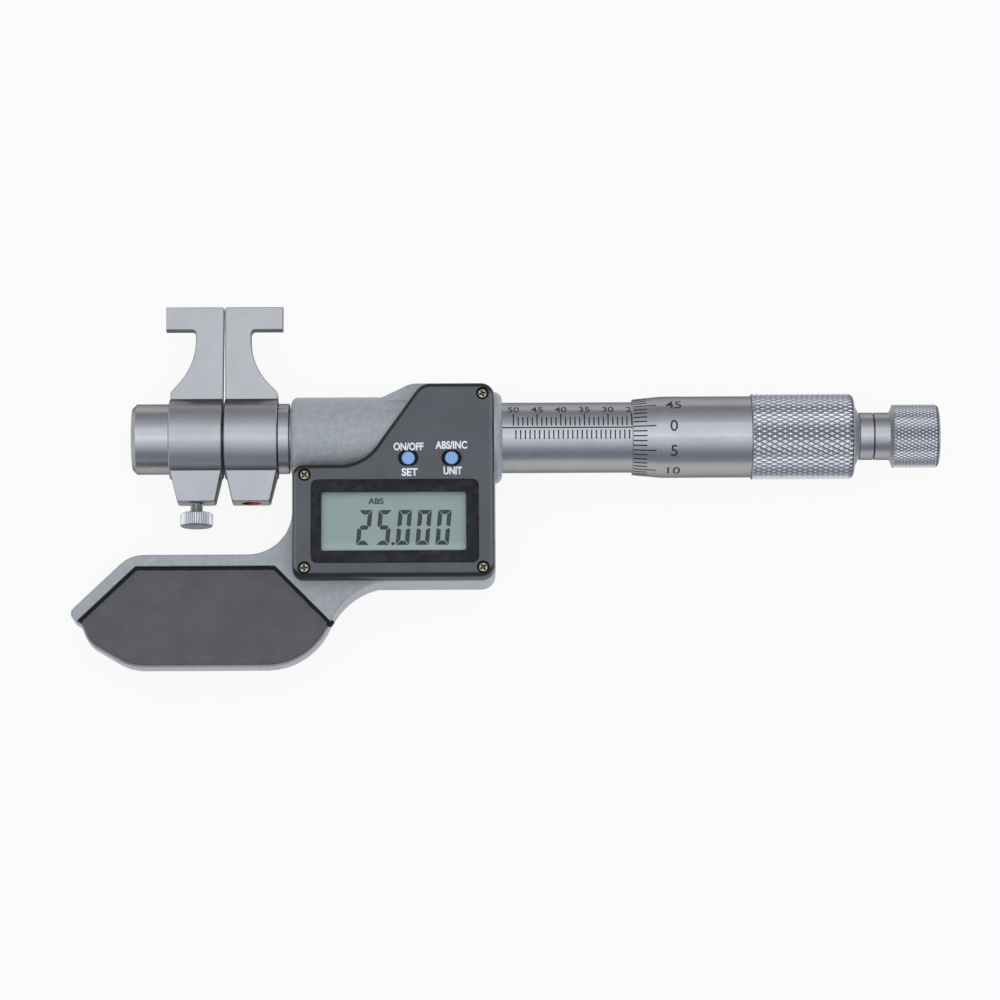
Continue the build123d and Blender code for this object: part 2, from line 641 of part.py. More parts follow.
def front_cover():
    """Moulded shell with posts for its screws."""
    shell = slab(cover_outline(), SEAT_Z, COVER_FRONT_Z)
    shell = fillet(shell.faces().sort_by(Axis.Z)[-1].edges(), COVER_EDGE)
    hollow = slab(offset(cover_outline(), amount=-COVER_WALL), SEAT_Z - 1, PLATE_BACK_Z)
    for x, y in SCREW_PLACES:
        hollow -= upright(x, y, SEAT_Z - 1, PLATE_BACK_Z, SCREW_POST_RADIUS)
    shell -= hollow
    window = Pos(WINDOW_X, WINDOW_Y) * RectangleRounded(WINDOW_WIDTH, WINDOW_HEIGHT, WINDOW_CORNER)
    shell -= slab(offset(window, amount=FIT), COVER_FRONT_Z - WINDOW_THICKNESS, COVER_FRONT_Z + 1)
    shell -= slab(offset(window, amount=-WINDOW_LEDGE), SEAT_Z, COVER_FRONT_Z)
    for x in (ON_OFF_X, MODE_X):
        shell -= button_hole(x, SEAT_Z, COVER_FRONT_Z + 1, FIT)
    for x, y in SCREW_PLACES:
        head_seat = COVER_FRONT_Z - SCREW_SINK - SCREW_HEAD_HEIGHT
        shell -= upright(x, y, head_seat, COVER_FRONT_Z + 1, SCREW_RECESS_DIAMETER / 2)
        shell -= upright(x, y, SEAT_Z - 1, COVER_FRONT_Z, SCREW_SHANK_DIAMETER / 2 + FIT)
    return shell


def cover_screws():
    """Four small cross-head screws."""
    top = COVER_FRONT_Z - SCREW_SINK
    seat = top - SCREW_HEAD_HEIGHT
    screws = []
    for x, y in SCREW_PLACES:
        screw = upright(x, y, seat, top, SCREW_HEAD_DIAMETER / 2)
        screw = chamfer(screw.faces().sort_by(Axis.Z)[-1].edges(), 0.2)
        screw += upright(x, y, SCREW_END_Z, seat, SCREW_SHANK_DIAMETER / 2)
        for turn in (0, 90):
            screw -= Pos(x, y, top) * Rot(0, 0, turn) * Box(1.3, 0.35, 0.8)
        screws.append(screw)
    return Compound(screws)


def display_window():
    window = Pos(WINDOW_X, WINDOW_Y) * RectangleRounded(WINDOW_WIDTH, WINDOW_HEIGHT, WINDOW_CORNER)
    return slab(window, COVER_FRONT_Z - WINDOW_THICKNESS, COVER_FRONT_Z)


def lcd_panel():
    panel = Pos(WINDOW_X, WINDOW_Y, BOARD_TOP_Z + LCD_THICKNESS / 2)
    return panel * Box(LCD_WIDTH, LCD_HEIGHT, LCD_THICKNESS)


def circuit_board():
    """Board on the casting's seat, with a tab under the buttons."""
    hollow = offset(cover_outline(), amount=-COVER_WALL - FREE)
    main = offset(pocket_outline(), amount=BOARD_OVERLAP)
    tab_width = BOARD_TAB_RIGHT_X - BOARD_TAB_LEFT_X
    tab_height = BOARD_TAB_TOP_Y - WINDOW_Y
    tab_middle = (BOARD_TAB_LEFT_X + BOARD_TAB_RIGHT_X) / 2
    tab = Pos(tab_middle, WINDOW_Y + tab_height / 2) * Rectangle(tab_width, tab_height)
    board = slab((main + tab) & hollow, SEAT_Z, BOARD_TOP_Z)
    for x, y in SCREW_PLACES:
        board -= upright(x, y, SEAT_Z - 1, BOARD_TOP_Z + 1, SCREW_POST_RADIUS + FREE)
    return board


def button_switches():
    """Two flat switches on the board, one under each button."""
    top = PLATE_BACK_Z - BUTTON_FLANGE_THICKNESS - BUTTON_TRAVEL - FREE
    switches = []
    for x in (ON_OFF_X, MODE_X):
        base = Pos(x, BUTTON_Y, (BOARD_TOP_Z + top) / 2) * Box(SWITCH_SIZE, SWITCH_SIZE, top - BOARD_TOP_Z)
        switches.append(base)
    return Compound(switches)


def button_bezels():
    """Dark rubber ovals round the buttons."""
    bezels = []
    for x in (ON_OFF_X, MODE_X):
        bezel = button_hole(x, PLATE_BACK_Z, COVER_FRONT_Z - BEZEL_SINK, -FIT)
        bezel -= upright(x, BUTTON_Y, 0, 2 * COVER_FRONT_Z, BUTTON_DIAMETER / 2 + RUNNING)
        bezels.append(bezel)
    return Compound(bezels)


def button(x):
    """Round button with a flange under the cover."""
    top = COVER_FRONT_Z + BUTTON_PROUD
    cap = upright(x, BUTTON_Y, PLATE_BACK_Z - BUTTON_FLANGE_THICKNESS, top, BUTTON_DIAMETER / 2)
    cap = fillet(cap.faces().sort_by(Axis.Z)[-1].edges(), 0.3)
    flange_top = PLATE_BACK_Z - RUNNING
    flange_low = flange_top - BUTTON_FLANGE_THICKNESS
    return cap + upright(x, BUTTON_Y, flange_low, flange_top, BUTTON_FLANGE_DIAMETER / 2)


# Battery


def battery():
    cell = upright(BATTERY_X, BATTERY_Y, CAP_INNER_Z, BATTERY_TOP_Z, BATTERY_DIAMETER / 2)
    return chamfer(cell.edges(), 0.4)


def battery_contact():
    """Bent leaf that presses on the cell and carries up to the board."""
    low = BATTERY_TOP_Z + FIT
    high = SEAT_Z - FIT
    half = CONTACT_REACH / 2
    centre_line = FilletPolyline(
        (half, high - CONTACT_THICKNESS / 2),
        (-half, high - CONTACT_THICKNESS / 2),
        (-half, (low + high) / 2),
        (half, low + CONTACT_THICKNESS / 2),
        (-half / 2, low + CONTACT_THICKNESS / 2),
        radius=0.8,
    )
    leaf = Plane.XZ * trace(centre_line, CONTACT_THICKNESS)
    leaf = extrude(leaf, amount=CONTACT_WIDTH / 2, both=True)
    return Pos(BATTERY_X, BATTERY_Y, 0) * leaf


def battery_cap():
    """Coin-slot cap with two bayonet lugs and a groove for its seal."""
    radius = CAP_DIAMETER / 2
    cap = upright(0, 0, CAP_BACK_Z, CAP_INNER_Z - FIT, radius)
    cap = chamfer(cap.faces().sort_by(Axis.Z)[0].edges(), 0.3)
    for side in (0, 180):
        lug = lug_sector(radius + CAP_LUG_REACH, CAP_INNER_Z - CAP_LUG_HEIGHT, CAP_INNER_Z - RUNNING, 0)
        cap += Rot(0, 0, side) * lug
    slot_top = CAP_BACK_Z + CAP_SLOT_DEPTH
    half = CAP_SLOT_WIDTH / 2
    cap -= block(-radius + 1.5, radius - 1.5, -half, half, CAP_BACK_Z - 1, slot_top)
    half = RING_SECTION / 2 + FIT
    groove_z = CAP_BACK_Z + RING_DEPTH
    groove = upright(0, 0, groove_z - half, groove_z + half, radius + 1)
    groove -= upright(0, 0, groove_z - half, groove_z + half, radius - RING_SECTION)
    return Pos(BATTERY_X, BATTERY_Y, 0) * (cap - groove)


def cap_o_ring():
    """Seal of an eight-sided section in the cap's groove."""
    section = RegularPolygon(RING_SECTION / 2, RING_SIDES, major_radius=False, rotation=180 / RING_SIDES)
    middle = CAP_DIAMETER / 2 - RING_SECTION / 2 + FIT
    ring = revolve(Plane.XZ * Pos(middle, 0) * section, Axis.Z)
    return Pos(BATTERY_X, BATTERY_Y, CAP_BACK_Z + RING_DEPTH) * ring


# Encoder


def encoder_stator():
    """Fixed disc against the wall of the bay."""
    left = BAY_RIGHT_X - STATOR_THICKNESS
    disc = bar(left, BAY_RIGHT_X, BAY_RADIUS - FIT)
    return disc - bar(left - 1, BAY_RIGHT_X + 1, THREAD_DIAMETER / 2 + FREE)


def encoder_rotor():
    """Disc with a tongue in the spindle's keyway."""
    left = ROTOR_RIGHT_X - ROTOR_THICKNESS
    radius = SPINDLE_DIAMETER / 2
    disc = bar(left, ROTOR_RIGHT_X, ROTOR_RADIUS)
    disc -= bar(left - 1, ROTOR_RIGHT_X + 1, radius + RUNNING)
    half = SPINDLE_KEYWAY_WIDTH / 2 - RUNNING
    tongue_foot = radius - SPINDLE_KEYWAY_DEPTH + RUNNING
    return disc + block(left, ROTOR_RIGHT_X, tongue_foot, radius + 1, -half, half)


# Spindle, nut and sleeves


def spindle():
    """Turning spindle: nose in the rod, plain part with keyway, thread and taper tail."""
    nose = JOINT_BORE_DIAMETER / 2 - RUNNING
    clip_x = ROD_RIGHT_X - CLIP_INSET
    groove = CLIP_THICKNESS / 2 + 2 * RUNNING
    shoulder = ROD_RIGHT_X + RUNNING
    plain = SPINDLE_DIAMETER / 2
    thread = THREAD_DIAMETER / 2
    body = turned(
        [
            (ROD_RIGHT_X - JOINT_BORE_DEPTH + FREE, 0),
            (ROD_RIGHT_X - JOINT_BORE_DEPTH + FREE, nose),
            (clip_x - groove, nose),
            (clip_x - groove, nose - 0.75),
            (clip_x + groove, nose - 0.75),
            (clip_x + groove, nose),
            (shoulder, nose),
            (shoulder, plain),
            (SPINDLE_THREAD_X, plain),
            (SPINDLE_THREAD_X + thread - plain, thread),
            (SPINDLE_TAIL_X - 0.5, thread),
            (SPINDLE_TAIL_X - 0.5, TAPER_LARGE_DIAMETER / 2),
            (SPINDLE_TAIL_X, TAPER_LARGE_DIAMETER / 2),
            (THIMBLE_RIGHT_X, TAPER_SMALL_DIAMETER / 2),
            (THIMBLE_RIGHT_X, 0),
        ]
    )
    half = SPINDLE_KEYWAY_WIDTH / 2
    keyway_left = shoulder + 0.5
    keyway_right = ROTOR_RIGHT_X + TRAVEL + 1
    body -= block(keyway_left, keyway_right, plain - SPINDLE_KEYWAY_DEPTH, thread, -half, half)
    return body - bar(THIMBLE_RIGHT_X - 5, THIMBLE_RIGHT_X + 1, RATCHET_STEM_DIAMETER / 2 - 0.7 + FIT)


def inner_sleeve():
    """Sleeve with a spigot in the boss, and the nut and three slits at its right end."""
    outer = INNER_SLEEVE_DIAMETER / 2
    sleeve = bar(BOSS_FACE_X + FIT, INNER_SLEEVE_RIGHT_X, outer)
    sleeve += bar(INNER_SLEEVE_LEFT_X, BOSS_FACE_X + FIT, INNER_SLEEVE_SPIGOT_DIAMETER / 2)
    sleeve -= bar(INNER_SLEEVE_LEFT_X - 1, INNER_SLEEVE_RIGHT_X + 1, SPINDLE_DIAMETER / 2 + RUNNING)
    relief_left = INNER_SLEEVE_LEFT_X + BEARING_LENGTH
    sleeve -= bar(relief_left, NUT_LEFT_X, THREAD_DIAMETER / 2 + FREE)
    sleeve -= bar(NUT_LEFT_X - 1, INNER_SLEEVE_RIGHT_X + 1, THREAD_DIAMETER / 2 + RUNNING)
    half = SLIT_WIDTH / 2
    right = INNER_SLEEVE_RIGHT_X
    for step in range(3):
        slit = block(right - SLIT_LENGTH, right + 1, 0, 2 * outer, -half, half)
        sleeve -= Rot(120 * step + 30, 0, 0) * slit
    return sleeve


def adjusting_nut():
    """Ring that closes the slit end, with two wrench holes."""
    right = NUT_LEFT_X + NUT_LENGTH
    left = right - ADJUSTING_NUT_LENGTH
    nut = chamfer(bar(left, right, ADJUSTING_NUT_DIAMETER / 2).edges(), 0.3)
    nut -= bar(left - 1, right + 1, INNER_SLEEVE_DIAMETER / 2 + FIT)
    middle = (left + right) / 2
    return nut - upright(middle, 0, -9, 9, 0.6)


def sleeve():
    """Graduated sleeve with its wrench hole at the back."""
    tube = bar(BOSS_FACE_X, SLEEVE_RIGHT_X, SLEEVE_DIAMETER / 2)
    tube = chamfer(tube.faces().sort_by(Axis.X)[-1].edges(), 0.2)
    tube -= bar(BOSS_FACE_X - 1, SLEEVE_RIGHT_X + 1, INNER_SLEEVE_DIAMETER / 2 + FIT)
    return tube - upright(SLEEVE_HOLE_X, 0, -SLEEVE_DIAMETER, 0, SLEEVE_HOLE_DIAMETER / 2)


def thimble():
    """Thimble with a bevelled left edge, a thicker grip and a stepped right end."""
    bore = SLEEVE_DIAMETER / 2 + THIMBLE_WALL_GAP
    edge = THIMBLE_EDGE_DIAMETER / 2
    body = THIMBLE_DIAMETER / 2
    grip = GRIP_DIAMETER / 2
    return turned(
        [
            (THIMBLE_LEFT_X, bore),
            (THIMBLE_LEFT_X, edge - 0.1),
            (THIMBLE_LEFT_X + 0.1, edge),
            (THIMBLE_LEFT_X + THIMBLE_BEVEL_LENGTH, body),
            (GRIP_LEFT_X, body),
            (GRIP_LEFT_X + 0.15, grip - 0.1),
            (GRIP_LEFT_X + 0.35, grip),
            (GRIP_RIGHT_X, grip),
            (GRIP_RIGHT_X + 0.6, grip - 0.2),
            (THIMBLE_ROUND_X, grip - 0.65),
            (THIMBLE_SHOULDER_X, THIMBLE_SHOULDER_DIAMETER / 2),
            (THIMBLE_RIGHT_X - 0.15, NECK_DIAMETER / 2),
            (THIMBLE_RIGHT_X, NECK_DIAMETER / 2 - 0.2),
            (THIMBLE_RIGHT_X, TAPER_SMALL_DIAMETER / 2 + FIT),
            (THIMBLE_BOTTOM_X, TAPER_LARGE_DIAMETER / 2 + FIT),
            (THIMBLE_BOTTOM_X, bore),
        ]
    )


# Ratchet


def tooth_ring(face_x, direction):
    """Ring of saw teeth on a face across the spindle line."""
    step = 360 / RATCHET_TEETH
    half = math.radians(step / 2)
    inner = RATCHET_STEM_DIAMETER / 2 + 0.2
    outer = PAWL_RADIUS - 0.1
    tip = TOOTH_HEIGHT * direction
    ring = Part()
    for number in range(RATCHET_TEETH):
        angle = step * number
        side = outer * math.tan(half) * 0.96
        profile = make_face(Polyline((0, -side), (0, side), (tip, side), close=True))
        tooth = extrude(Pos(face_x, 0, inner) * profile, amount=outer - inner)
        small_side = inner * math.tan(half) * 0.96
        keep = Polyline((inner, -small_side), (outer, -side), (outer, side), (inner, small_side), close=True)
        sector = extrude(Plane.YZ * Rot(0, 0, 90) * make_face(keep), amount=2, both=True)
        ring += Rot(angle, 0, 0) * (tooth & Pos(face_x, 0, 0) * sector)
    return ring


def ratchet_body():
    """First part of the neck, with a toothed face and the stem that the knob turns on."""
    flange = bar(THIMBLE_RIGHT_X, RATCHET_FLANGE_RIGHT_X, NECK_DIAMETER / 2)
    flange = chamfer(flange.edges(), 0.15)
    stem = bar(THIMBLE_RIGHT_X, KNOB_RECESS_LEFT_X + RUNNING, RATCHET_STEM_DIAMETER / 2)
    root = bar(THIMBLE_RIGHT_X - 4.5, THIMBLE_RIGHT_X, RATCHET_STEM_DIAMETER / 2 - 0.7)
    body = flange + stem + root + tooth_ring(RATCHET_FLANGE_RIGHT_X, 1)
    return body - bar(KNOB_RECESS_LEFT_X - 5, KNOB_RECESS_LEFT_X + 1, 1.0 + FIT)


def pawl_left():
    """Left face of the plunger, lifted so that both rings of teeth clear."""
    return RATCHET_FLANGE_RIGHT_X + 2 * TOOTH_HEIGHT + RUNNING


def ratchet_pawl():
    """Plunger that the spring presses on the teeth, with two lugs that key it to the knob."""
    left = pawl_left()
    right = left + PAWL_THICKNESS
    disc = bar(left, right, PAWL_RADIUS)
    lug = KNOB_CHAMBER_RADIUS + PAWL_LUG - RUNNING
    disc += block(left, right, -lug, lug, -0.75, 0.75)
    disc += tooth_ring(left, -1)
    return disc - bar(left - 1, right + 1, RATCHET_STEM_DIAMETER / 2 + RUNNING)


def ratchet_spring():
    """Coil spring between the plunger and the end of the knob's chamber."""
    low = pawl_left() + PAWL_THICKNESS + SPRING_WIRE / 2 + FIT
    high = KNOB_CHAMBER_RIGHT_X - SPRING_WIRE / 2 - FIT
    path = Helix(pitch=(high - low) / SPRING_TURNS, height=high - low, radius=SPRING_RADIUS)
    start = Plane(origin=path @ 0, z_dir=path % 0)
    coil = sweep(start * RegularPolygon(SPRING_WIRE / 2, 6), path=path, is_frenet=True)
    return Pos(low, 0, 0) * Rot(0, 90, 0) * coil


def ratchet_knob():
    """Knob with the second part of the neck, a spring chamber and a screw recess."""
    neck = NECK_DIAMETER / 2
    grip = KNOB_DIAMETER / 2
    left = RATCHET_FLANGE_RIGHT_X + KNOB_GAP
    stem = RATCHET_STEM_DIAMETER / 2 + RUNNING
    knob = turned(
        [
            (left, KNOB_CHAMBER_RADIUS),
            (left, neck - 0.15),
            (left + 0.15, neck),
            (KNOB_NECK_RIGHT_X, neck),
            (KNOB_NECK_RIGHT_X + KNOB_CONE_LENGTH, grip),
            (KNOB_RIGHT_X - KNOB_END_ROUNDING, grip),
            (KNOB_RIGHT_X - 0.25 * KNOB_END_ROUNDING, grip - 0.25 * KNOB_END_ROUNDING),
            (KNOB_RIGHT_X, grip - KNOB_END_ROUNDING),
            (KNOB_RIGHT_X, KNOB_RECESS_RADIUS),
            (KNOB_RECESS_LEFT_X, KNOB_RECESS_RADIUS),
            (KNOB_RECESS_LEFT_X, stem),
            (KNOB_CHAMBER_RIGHT_X, stem),
            (KNOB_CHAMBER_RIGHT_X, KNOB_CHAMBER_RADIUS),
        ]
    )
    reach = KNOB_CHAMBER_RADIUS + PAWL_LUG
    return knob - block(left - 1, KNOB_CHAMBER_RIGHT_X - 2, -reach, reach, -0.8, 0.8)


def ratchet_screw():
    """Slotted screw that keeps the knob on its stem."""
    seat = KNOB_RECESS_LEFT_X + 2 * RUNNING
    right = seat + RATCHET_SCREW_HEAD_HEIGHT
    head = bar(seat, right, RATCHET_SCREW_HEAD_DIAMETER / 2)
    head = chamfer(head.faces().sort_by(Axis.X)[-1].edges(), 0.3)
    half = RATCHET_SCREW_SLOT_WIDTH / 2
    head -= block(right - RATCHET_SCREW_SLOT_DEPTH, right + 1, -5, 5, -half, half)
    return head + bar(seat - 4.5, seat, 1.0)


def build():
    """Every node by name, drawn about the spindle line."""
    return {
        "frame_casting": frame_casting(),
        "front_pad": pad(True),
        "back_pad": pad(False),
        "front_cover": front_cover(),
        "cover_screws": cover_screws(),
        "display_window": display_window(),
        "lcd_panel": lcd_panel(),
        "circuit_board": circuit_board(),
        "button_switches": button_switches(),
        "button_bezels": button_bezels(),
        "on_off_button": button(ON_OFF_X),
        "mode_button": button(MODE_X),
        "battery": battery(),
        "battery_contact": battery_contact(),
        "battery_cap": battery_cap(),
        "cap_o_ring": cap_o_ring(),
        "encoder_stator": encoder_stator(),
        "encoder_rotor": encoder_rotor(),
        "guide_bush": guide_bush(),
        "fixed_jaw": fixed_jaw(),
        "key_screw": key_screw(),
        "moving_jaw": moving_jaw(),
        "jaw_holder": jaw_holder(),
        "guide_rod": guide_rod(),
        "clamp_screw": clamp_screw(),
        "spindle_clip": spindle_clip(),
        "spindle": spindle(),
        "inner_sleeve": inner_sleeve(),
        "adjusting_nut": adjusting_nut(),
        "sleeve": sleeve(),
        "thimble": thimble(),
        "ratchet_body": ratchet_body(),
        "ratchet_pawl": ratchet_pawl(),
        "ratchet_spring": ratchet_spring(),
        "ratchet_knob": ratchet_knob(),
        "ratchet_screw": ratchet_screw(),
    }


def main():
    os.makedirs("parts", exist_ok=True)
    pieces = build()
    box = Compound(list(pieces.values())).bounding_box()
    to_origin = Pos(-box.center().X, -box.center().Y, -box.min.Z)
    for name, piece in pieces.items():
        export_step(to_origin * piece, f"parts/{name}.step")
    print("size", box.size)
    print("spindle line at", -box.center().X, -box.center().Y, -box.min.Z)
    print("turns of the thimble over its range", TRAVEL / THREAD_LEAD)


main()
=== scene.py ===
import math

import bpy
from mathutils import Matrix, Vector
from mathutils.geometry import tessellate_polygon


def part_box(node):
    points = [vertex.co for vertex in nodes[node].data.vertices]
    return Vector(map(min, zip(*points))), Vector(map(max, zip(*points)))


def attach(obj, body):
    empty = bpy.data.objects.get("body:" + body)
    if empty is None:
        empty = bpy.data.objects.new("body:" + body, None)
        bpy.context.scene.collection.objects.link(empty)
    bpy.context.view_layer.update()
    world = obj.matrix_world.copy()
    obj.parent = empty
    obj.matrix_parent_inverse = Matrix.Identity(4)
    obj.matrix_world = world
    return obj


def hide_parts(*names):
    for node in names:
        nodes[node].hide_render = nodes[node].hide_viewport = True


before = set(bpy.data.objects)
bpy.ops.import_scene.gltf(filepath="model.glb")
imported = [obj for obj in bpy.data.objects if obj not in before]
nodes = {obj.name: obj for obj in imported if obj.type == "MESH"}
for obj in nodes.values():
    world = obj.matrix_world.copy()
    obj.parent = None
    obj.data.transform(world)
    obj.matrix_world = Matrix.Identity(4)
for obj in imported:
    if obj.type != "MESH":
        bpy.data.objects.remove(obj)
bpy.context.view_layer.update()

# Inside micrometer on its back. Lengths are millimetres measured from the point where the
# spindle line meets the casting's right face, as in the part's source: X along the spindle,
# Y towards the jaw tips, Z towards the display.

MM = 0.001
FULL_TURN = 2 * math.pi
SLEEVE_LEFT_X = 0.4
SKIN = 0.015

sleeve_low, sleeve_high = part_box("sleeve")
spindle_line = (sleeve_low + sleeve_high) / 2
datum = Vector((sleeve_low.x - SLEEVE_LEFT_X * MM, spindle_line.y, spindle_line.z))


def at(x, y, z):
    """Place in the frame of a point given in millimetres."""
    return datum + Vector((x, y, z)) * MM


def around(x, radius, angle):
    """Point on a circle about the spindle line. The angle is radians above the front."""
    return at(x, radius * math.sin(angle), radius * math.cos(angle))


def limits(node):
    """Lowest and highest corner of a node, in millimetres from the datum."""
    low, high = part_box(node)
    return (low - datum) / MM, (high - datum) / MM


COVER_FRONT = limits("display_window")[1].z
VIEW_LEFT, VIEW_RIGHT, VIEW_BOTTOM, VIEW_TOP = -37.7, -7.3, -25.58, -13.2
thimble_low, thimble_high = limits("thimble")
knob_low, knob_high = limits("ratchet_knob")
THIMBLE_LEFT = thimble_low.x
GRIP_RADIUS = (thimble_high.z - thimble_low.z) / 2
GRIP_DEPTH = 0.26
KNOB_RADIUS = (knob_high.z - knob_low.z) / 2
KNOB_DEPTH = 0.19
clamp_low, clamp_high = limits("clamp_screw")
CLAMP_X = (clamp_low.x + clamp_high.x) / 2
CLAMP_HEAD_RADIUS = 3.5
CLAMP_RIB_DEPTH = 0.25


# Shader nodes


def add_node(tree, kind, settings=None, **inputs):
    """Adds a shader node. An input is a value or another node's output."""
    made = tree.nodes.new("ShaderNode" + kind)
    for name, value in (settings or {}).items():
        setattr(made, name, value)
    for name, value in inputs.items():
        key = int(name[1:]) if name[0] == "_" else name.replace("_", " ")
        if isinstance(value, bpy.types.NodeSocket):
            tree.links.new(value, made.inputs[key])
        else:
            made.inputs[key].default_value = value
    return made


def calculated(tree, first, second, operation="ADD"):
    return add_node(tree, "Math", {"operation": operation}, _0=first, _1=second).outputs[0]


def vector_math(tree, operation, **inputs):
    return add_node(tree, "VectorMath", {"operation": operation}, **inputs).outputs


def spread(tree, value, low, high, first=0.0, last=1.0):
    """Maps a value so that low gives first and high gives last, and no more beyond them."""
    return add_node(
        tree, "MapRange", None, Value=value, From_Min=low, From_Max=high, To_Min=first, To_Max=last
    ).outputs[0]


def shared(tree, first, share, second):
    """Sum of two noises, of which the first has the given share."""
    return calculated(
        tree, calculated(tree, first, share, "MULTIPLY"), calculated(tree, second, 1 - share, "MULTIPLY")
    )


def spread_along(tree, axis, low, high, first=0.0, last=1.0):
    """Share that runs from first to last between two places along an axis, in millimetres."""
    place = add_node(tree, "TexCoord").outputs["Object"]
    along = add_node(tree, "SeparateXYZ", Vector=place).outputs[axis]
    zero = datum["XYZ".index(axis)]
    return spread(tree, along, zero + low * MM, zero + high * MM, first, last)


def mix_shaders(made, share, first, second):
    """Shows the second shader instead of the first where the share is high."""
    tree = made.node_tree
    both = add_node(tree, "MixShader", None, _0=share, _1=first.outputs[0], _2=second.outputs[0])
    tree.links.new(both.outputs[0], tree.nodes["Material Output"].inputs["Surface"])


def empty_material(name):
    made = bpy.data.materials.new(name)
    made.use_nodes = True
    made.node_tree.nodes.remove(made.node_tree.nodes["Principled BSDF"])
    return made


# Camera, light and floor

CAMERA_PLACE = (-7.23, -176.76, 919.40)
CAMERA_RIGHT = (0.99996, -0.00597, 0.00671)
CAMERA_UP = (0.00470, 0.98456, 0.17498)
CAMERA_BACK = (-0.00765, -0.17494, 0.98455)
CAMERA_LENS = 158.4
CAMERA_SENSOR = 36
CAMERA_REACH = 20

# Colour of the studio by the angle about the spindle line, in degrees from straight above.
# Negative angles are on the near side, where the handle lies.
STUDIO = (
    (-180, (0.90, 0.93, 0.91)),
    (-130, (0.93, 0.96, 0.94)),
    (-92, (0.60, 0.63, 0.66)),
    (-82, (0.43, 0.48, 0.55)),
    (-70, (0.32, 0.37, 0.46)),
    (-58, (0.35, 0.38, 0.46)),
    (-47, (0.54, 0.57, 0.66)),
    (-36, (0.82, 0.86, 0.98)),
    (-24, (1.15, 1.20, 1.33)),
    (-14, (1.27, 1.32, 1.45)),
    (-6, (1.20, 1.25, 1.36)),
    (-3, (0.44, 0.46, 0.50)),
    (12, (0.29, 0.33, 0.35)),
    (26, (0.27, 0.28, 0.31)),
    (31, (0.98, 1.02, 1.14)),
    (42, (0.78, 0.80, 0.90)),
    (56, (0.58, 0.59, 0.66)),
    (72, (0.42, 0.43, 0.47)),
    (94, (0.34, 0.35, 0.37)),
    (117, (0.60, 0.61, 0.62)),
    (180, (0.90, 0.93, 0.91)),
)

LAMP_PLACE = (-20, 165, 900)
LAMP_SIZE = 0.62
LAMP_POWER = 1.38
LAMP_COLOUR = (0.98, 1.0, 1.03)

FLOOR_REACH = 6.0
FLOOR_HEIGHT = -0.0001
FLOOR_WHITENESS = 0.9


def add_object(name, data):
    made = bpy.data.objects.new(name, data)
    bpy.context.scene.collection.objects.link(made)
    return made


def add_camera():
    """Long lens high above the instrument, tilted towards the near side."""
    data = bpy.data.cameras.new("camera")
    data.lens = CAMERA_LENS
    data.sensor_width = CAMERA_SENSOR
    data.clip_end = CAMERA_REACH
    camera = add_object("camera", data)
    turn = Matrix((CAMERA_RIGHT, CAMERA_UP, CAMERA_BACK)).transposed().to_4x4()
    camera.matrix_world = Matrix.Translation(at(*CAMERA_PLACE)) @ turn
    bpy.context.scene.camera = camera


def add_world():
    """Studio with a bright panel above the near side, a narrow one beyond, and a pale ground."""
    world = bpy.data.worlds.new("studio")
    bpy.context.scene.world = world
    world.use_nodes = True
    tree = world.node_tree
    direction = add_node(tree, "TexCoord").outputs["Generated"]
    parts = add_node(tree, "SeparateXYZ", Vector=direction).outputs
    angle = calculated(tree, parts["Y"], parts["Z"], "ARCTAN2")
    ramp = add_node(tree, "ValToRGB", None, Fac=spread(tree, angle, -math.pi, math.pi))
    elements = ramp.color_ramp.elements
    while len(elements) < len(STUDIO):
        elements.new(0.5)
    for element, (degrees, colour) in zip(elements, STUDIO):
        element.position = (degrees + 180) / 360
        element.color = (*colour, 1)
    background = tree.nodes["Background"]
    tree.links.new(ramp.outputs["Color"], background.inputs["Color"])
    background.inputs["Strength"].default_value = 1.0


def add_lamp():
    """Square softbox high above the jaws' side."""
    data = bpy.data.lights.new("key_lamp", "AREA")
    data.shape = "SQUARE"
    data.size = LAMP_SIZE
    data.energy = LAMP_POWER
    data.color = LAMP_COLOUR
    lamp = add_object("key_lamp", data)
    place = at(*LAMP_PLACE)
    lamp.location = place
    lamp.rotation_euler = (at(0, 0, 0) - place).to_track_quat("-Z", "Y").to_euler()


def add_floor():
    """Pale floor that stays nearly white and keeps the object's soft shadow."""
    mesh = bpy.data.meshes.new("floor")
    sides = ((-1, -1), (1, -1), (1, 1), (-1, 1))
    mesh.from_pydata([(x * FLOOR_REACH, y * FLOOR_REACH, FLOOR_HEIGHT) for x, y in sides], [], [(0, 1, 2, 3)])
    floor = add_object("floor", mesh)
    pale = empty_material("floor_paper")
    tree = pale.node_tree
    rays = add_node(tree, "LightPath").outputs
    seen = calculated(tree, rays["Is Camera Ray"], rays["Is Glossy Ray"], "MAXIMUM")
    seen = calculated(tree, seen, rays["Is Transmission Ray"], "MAXIMUM")
    paper = add_node(tree, "BsdfDiffuse", None, Color=(0.86, 0.86, 0.86, 1))
    white = add_node(tree, "Emission", None, Color=(1, 1, 1, 1), Strength=1.0)
    mix_shaders(pale, calculated(tree, seen, FLOOR_WHITENESS, "MULTIPLY"), paper, white)
    mesh.materials.append(pale)


# Materials

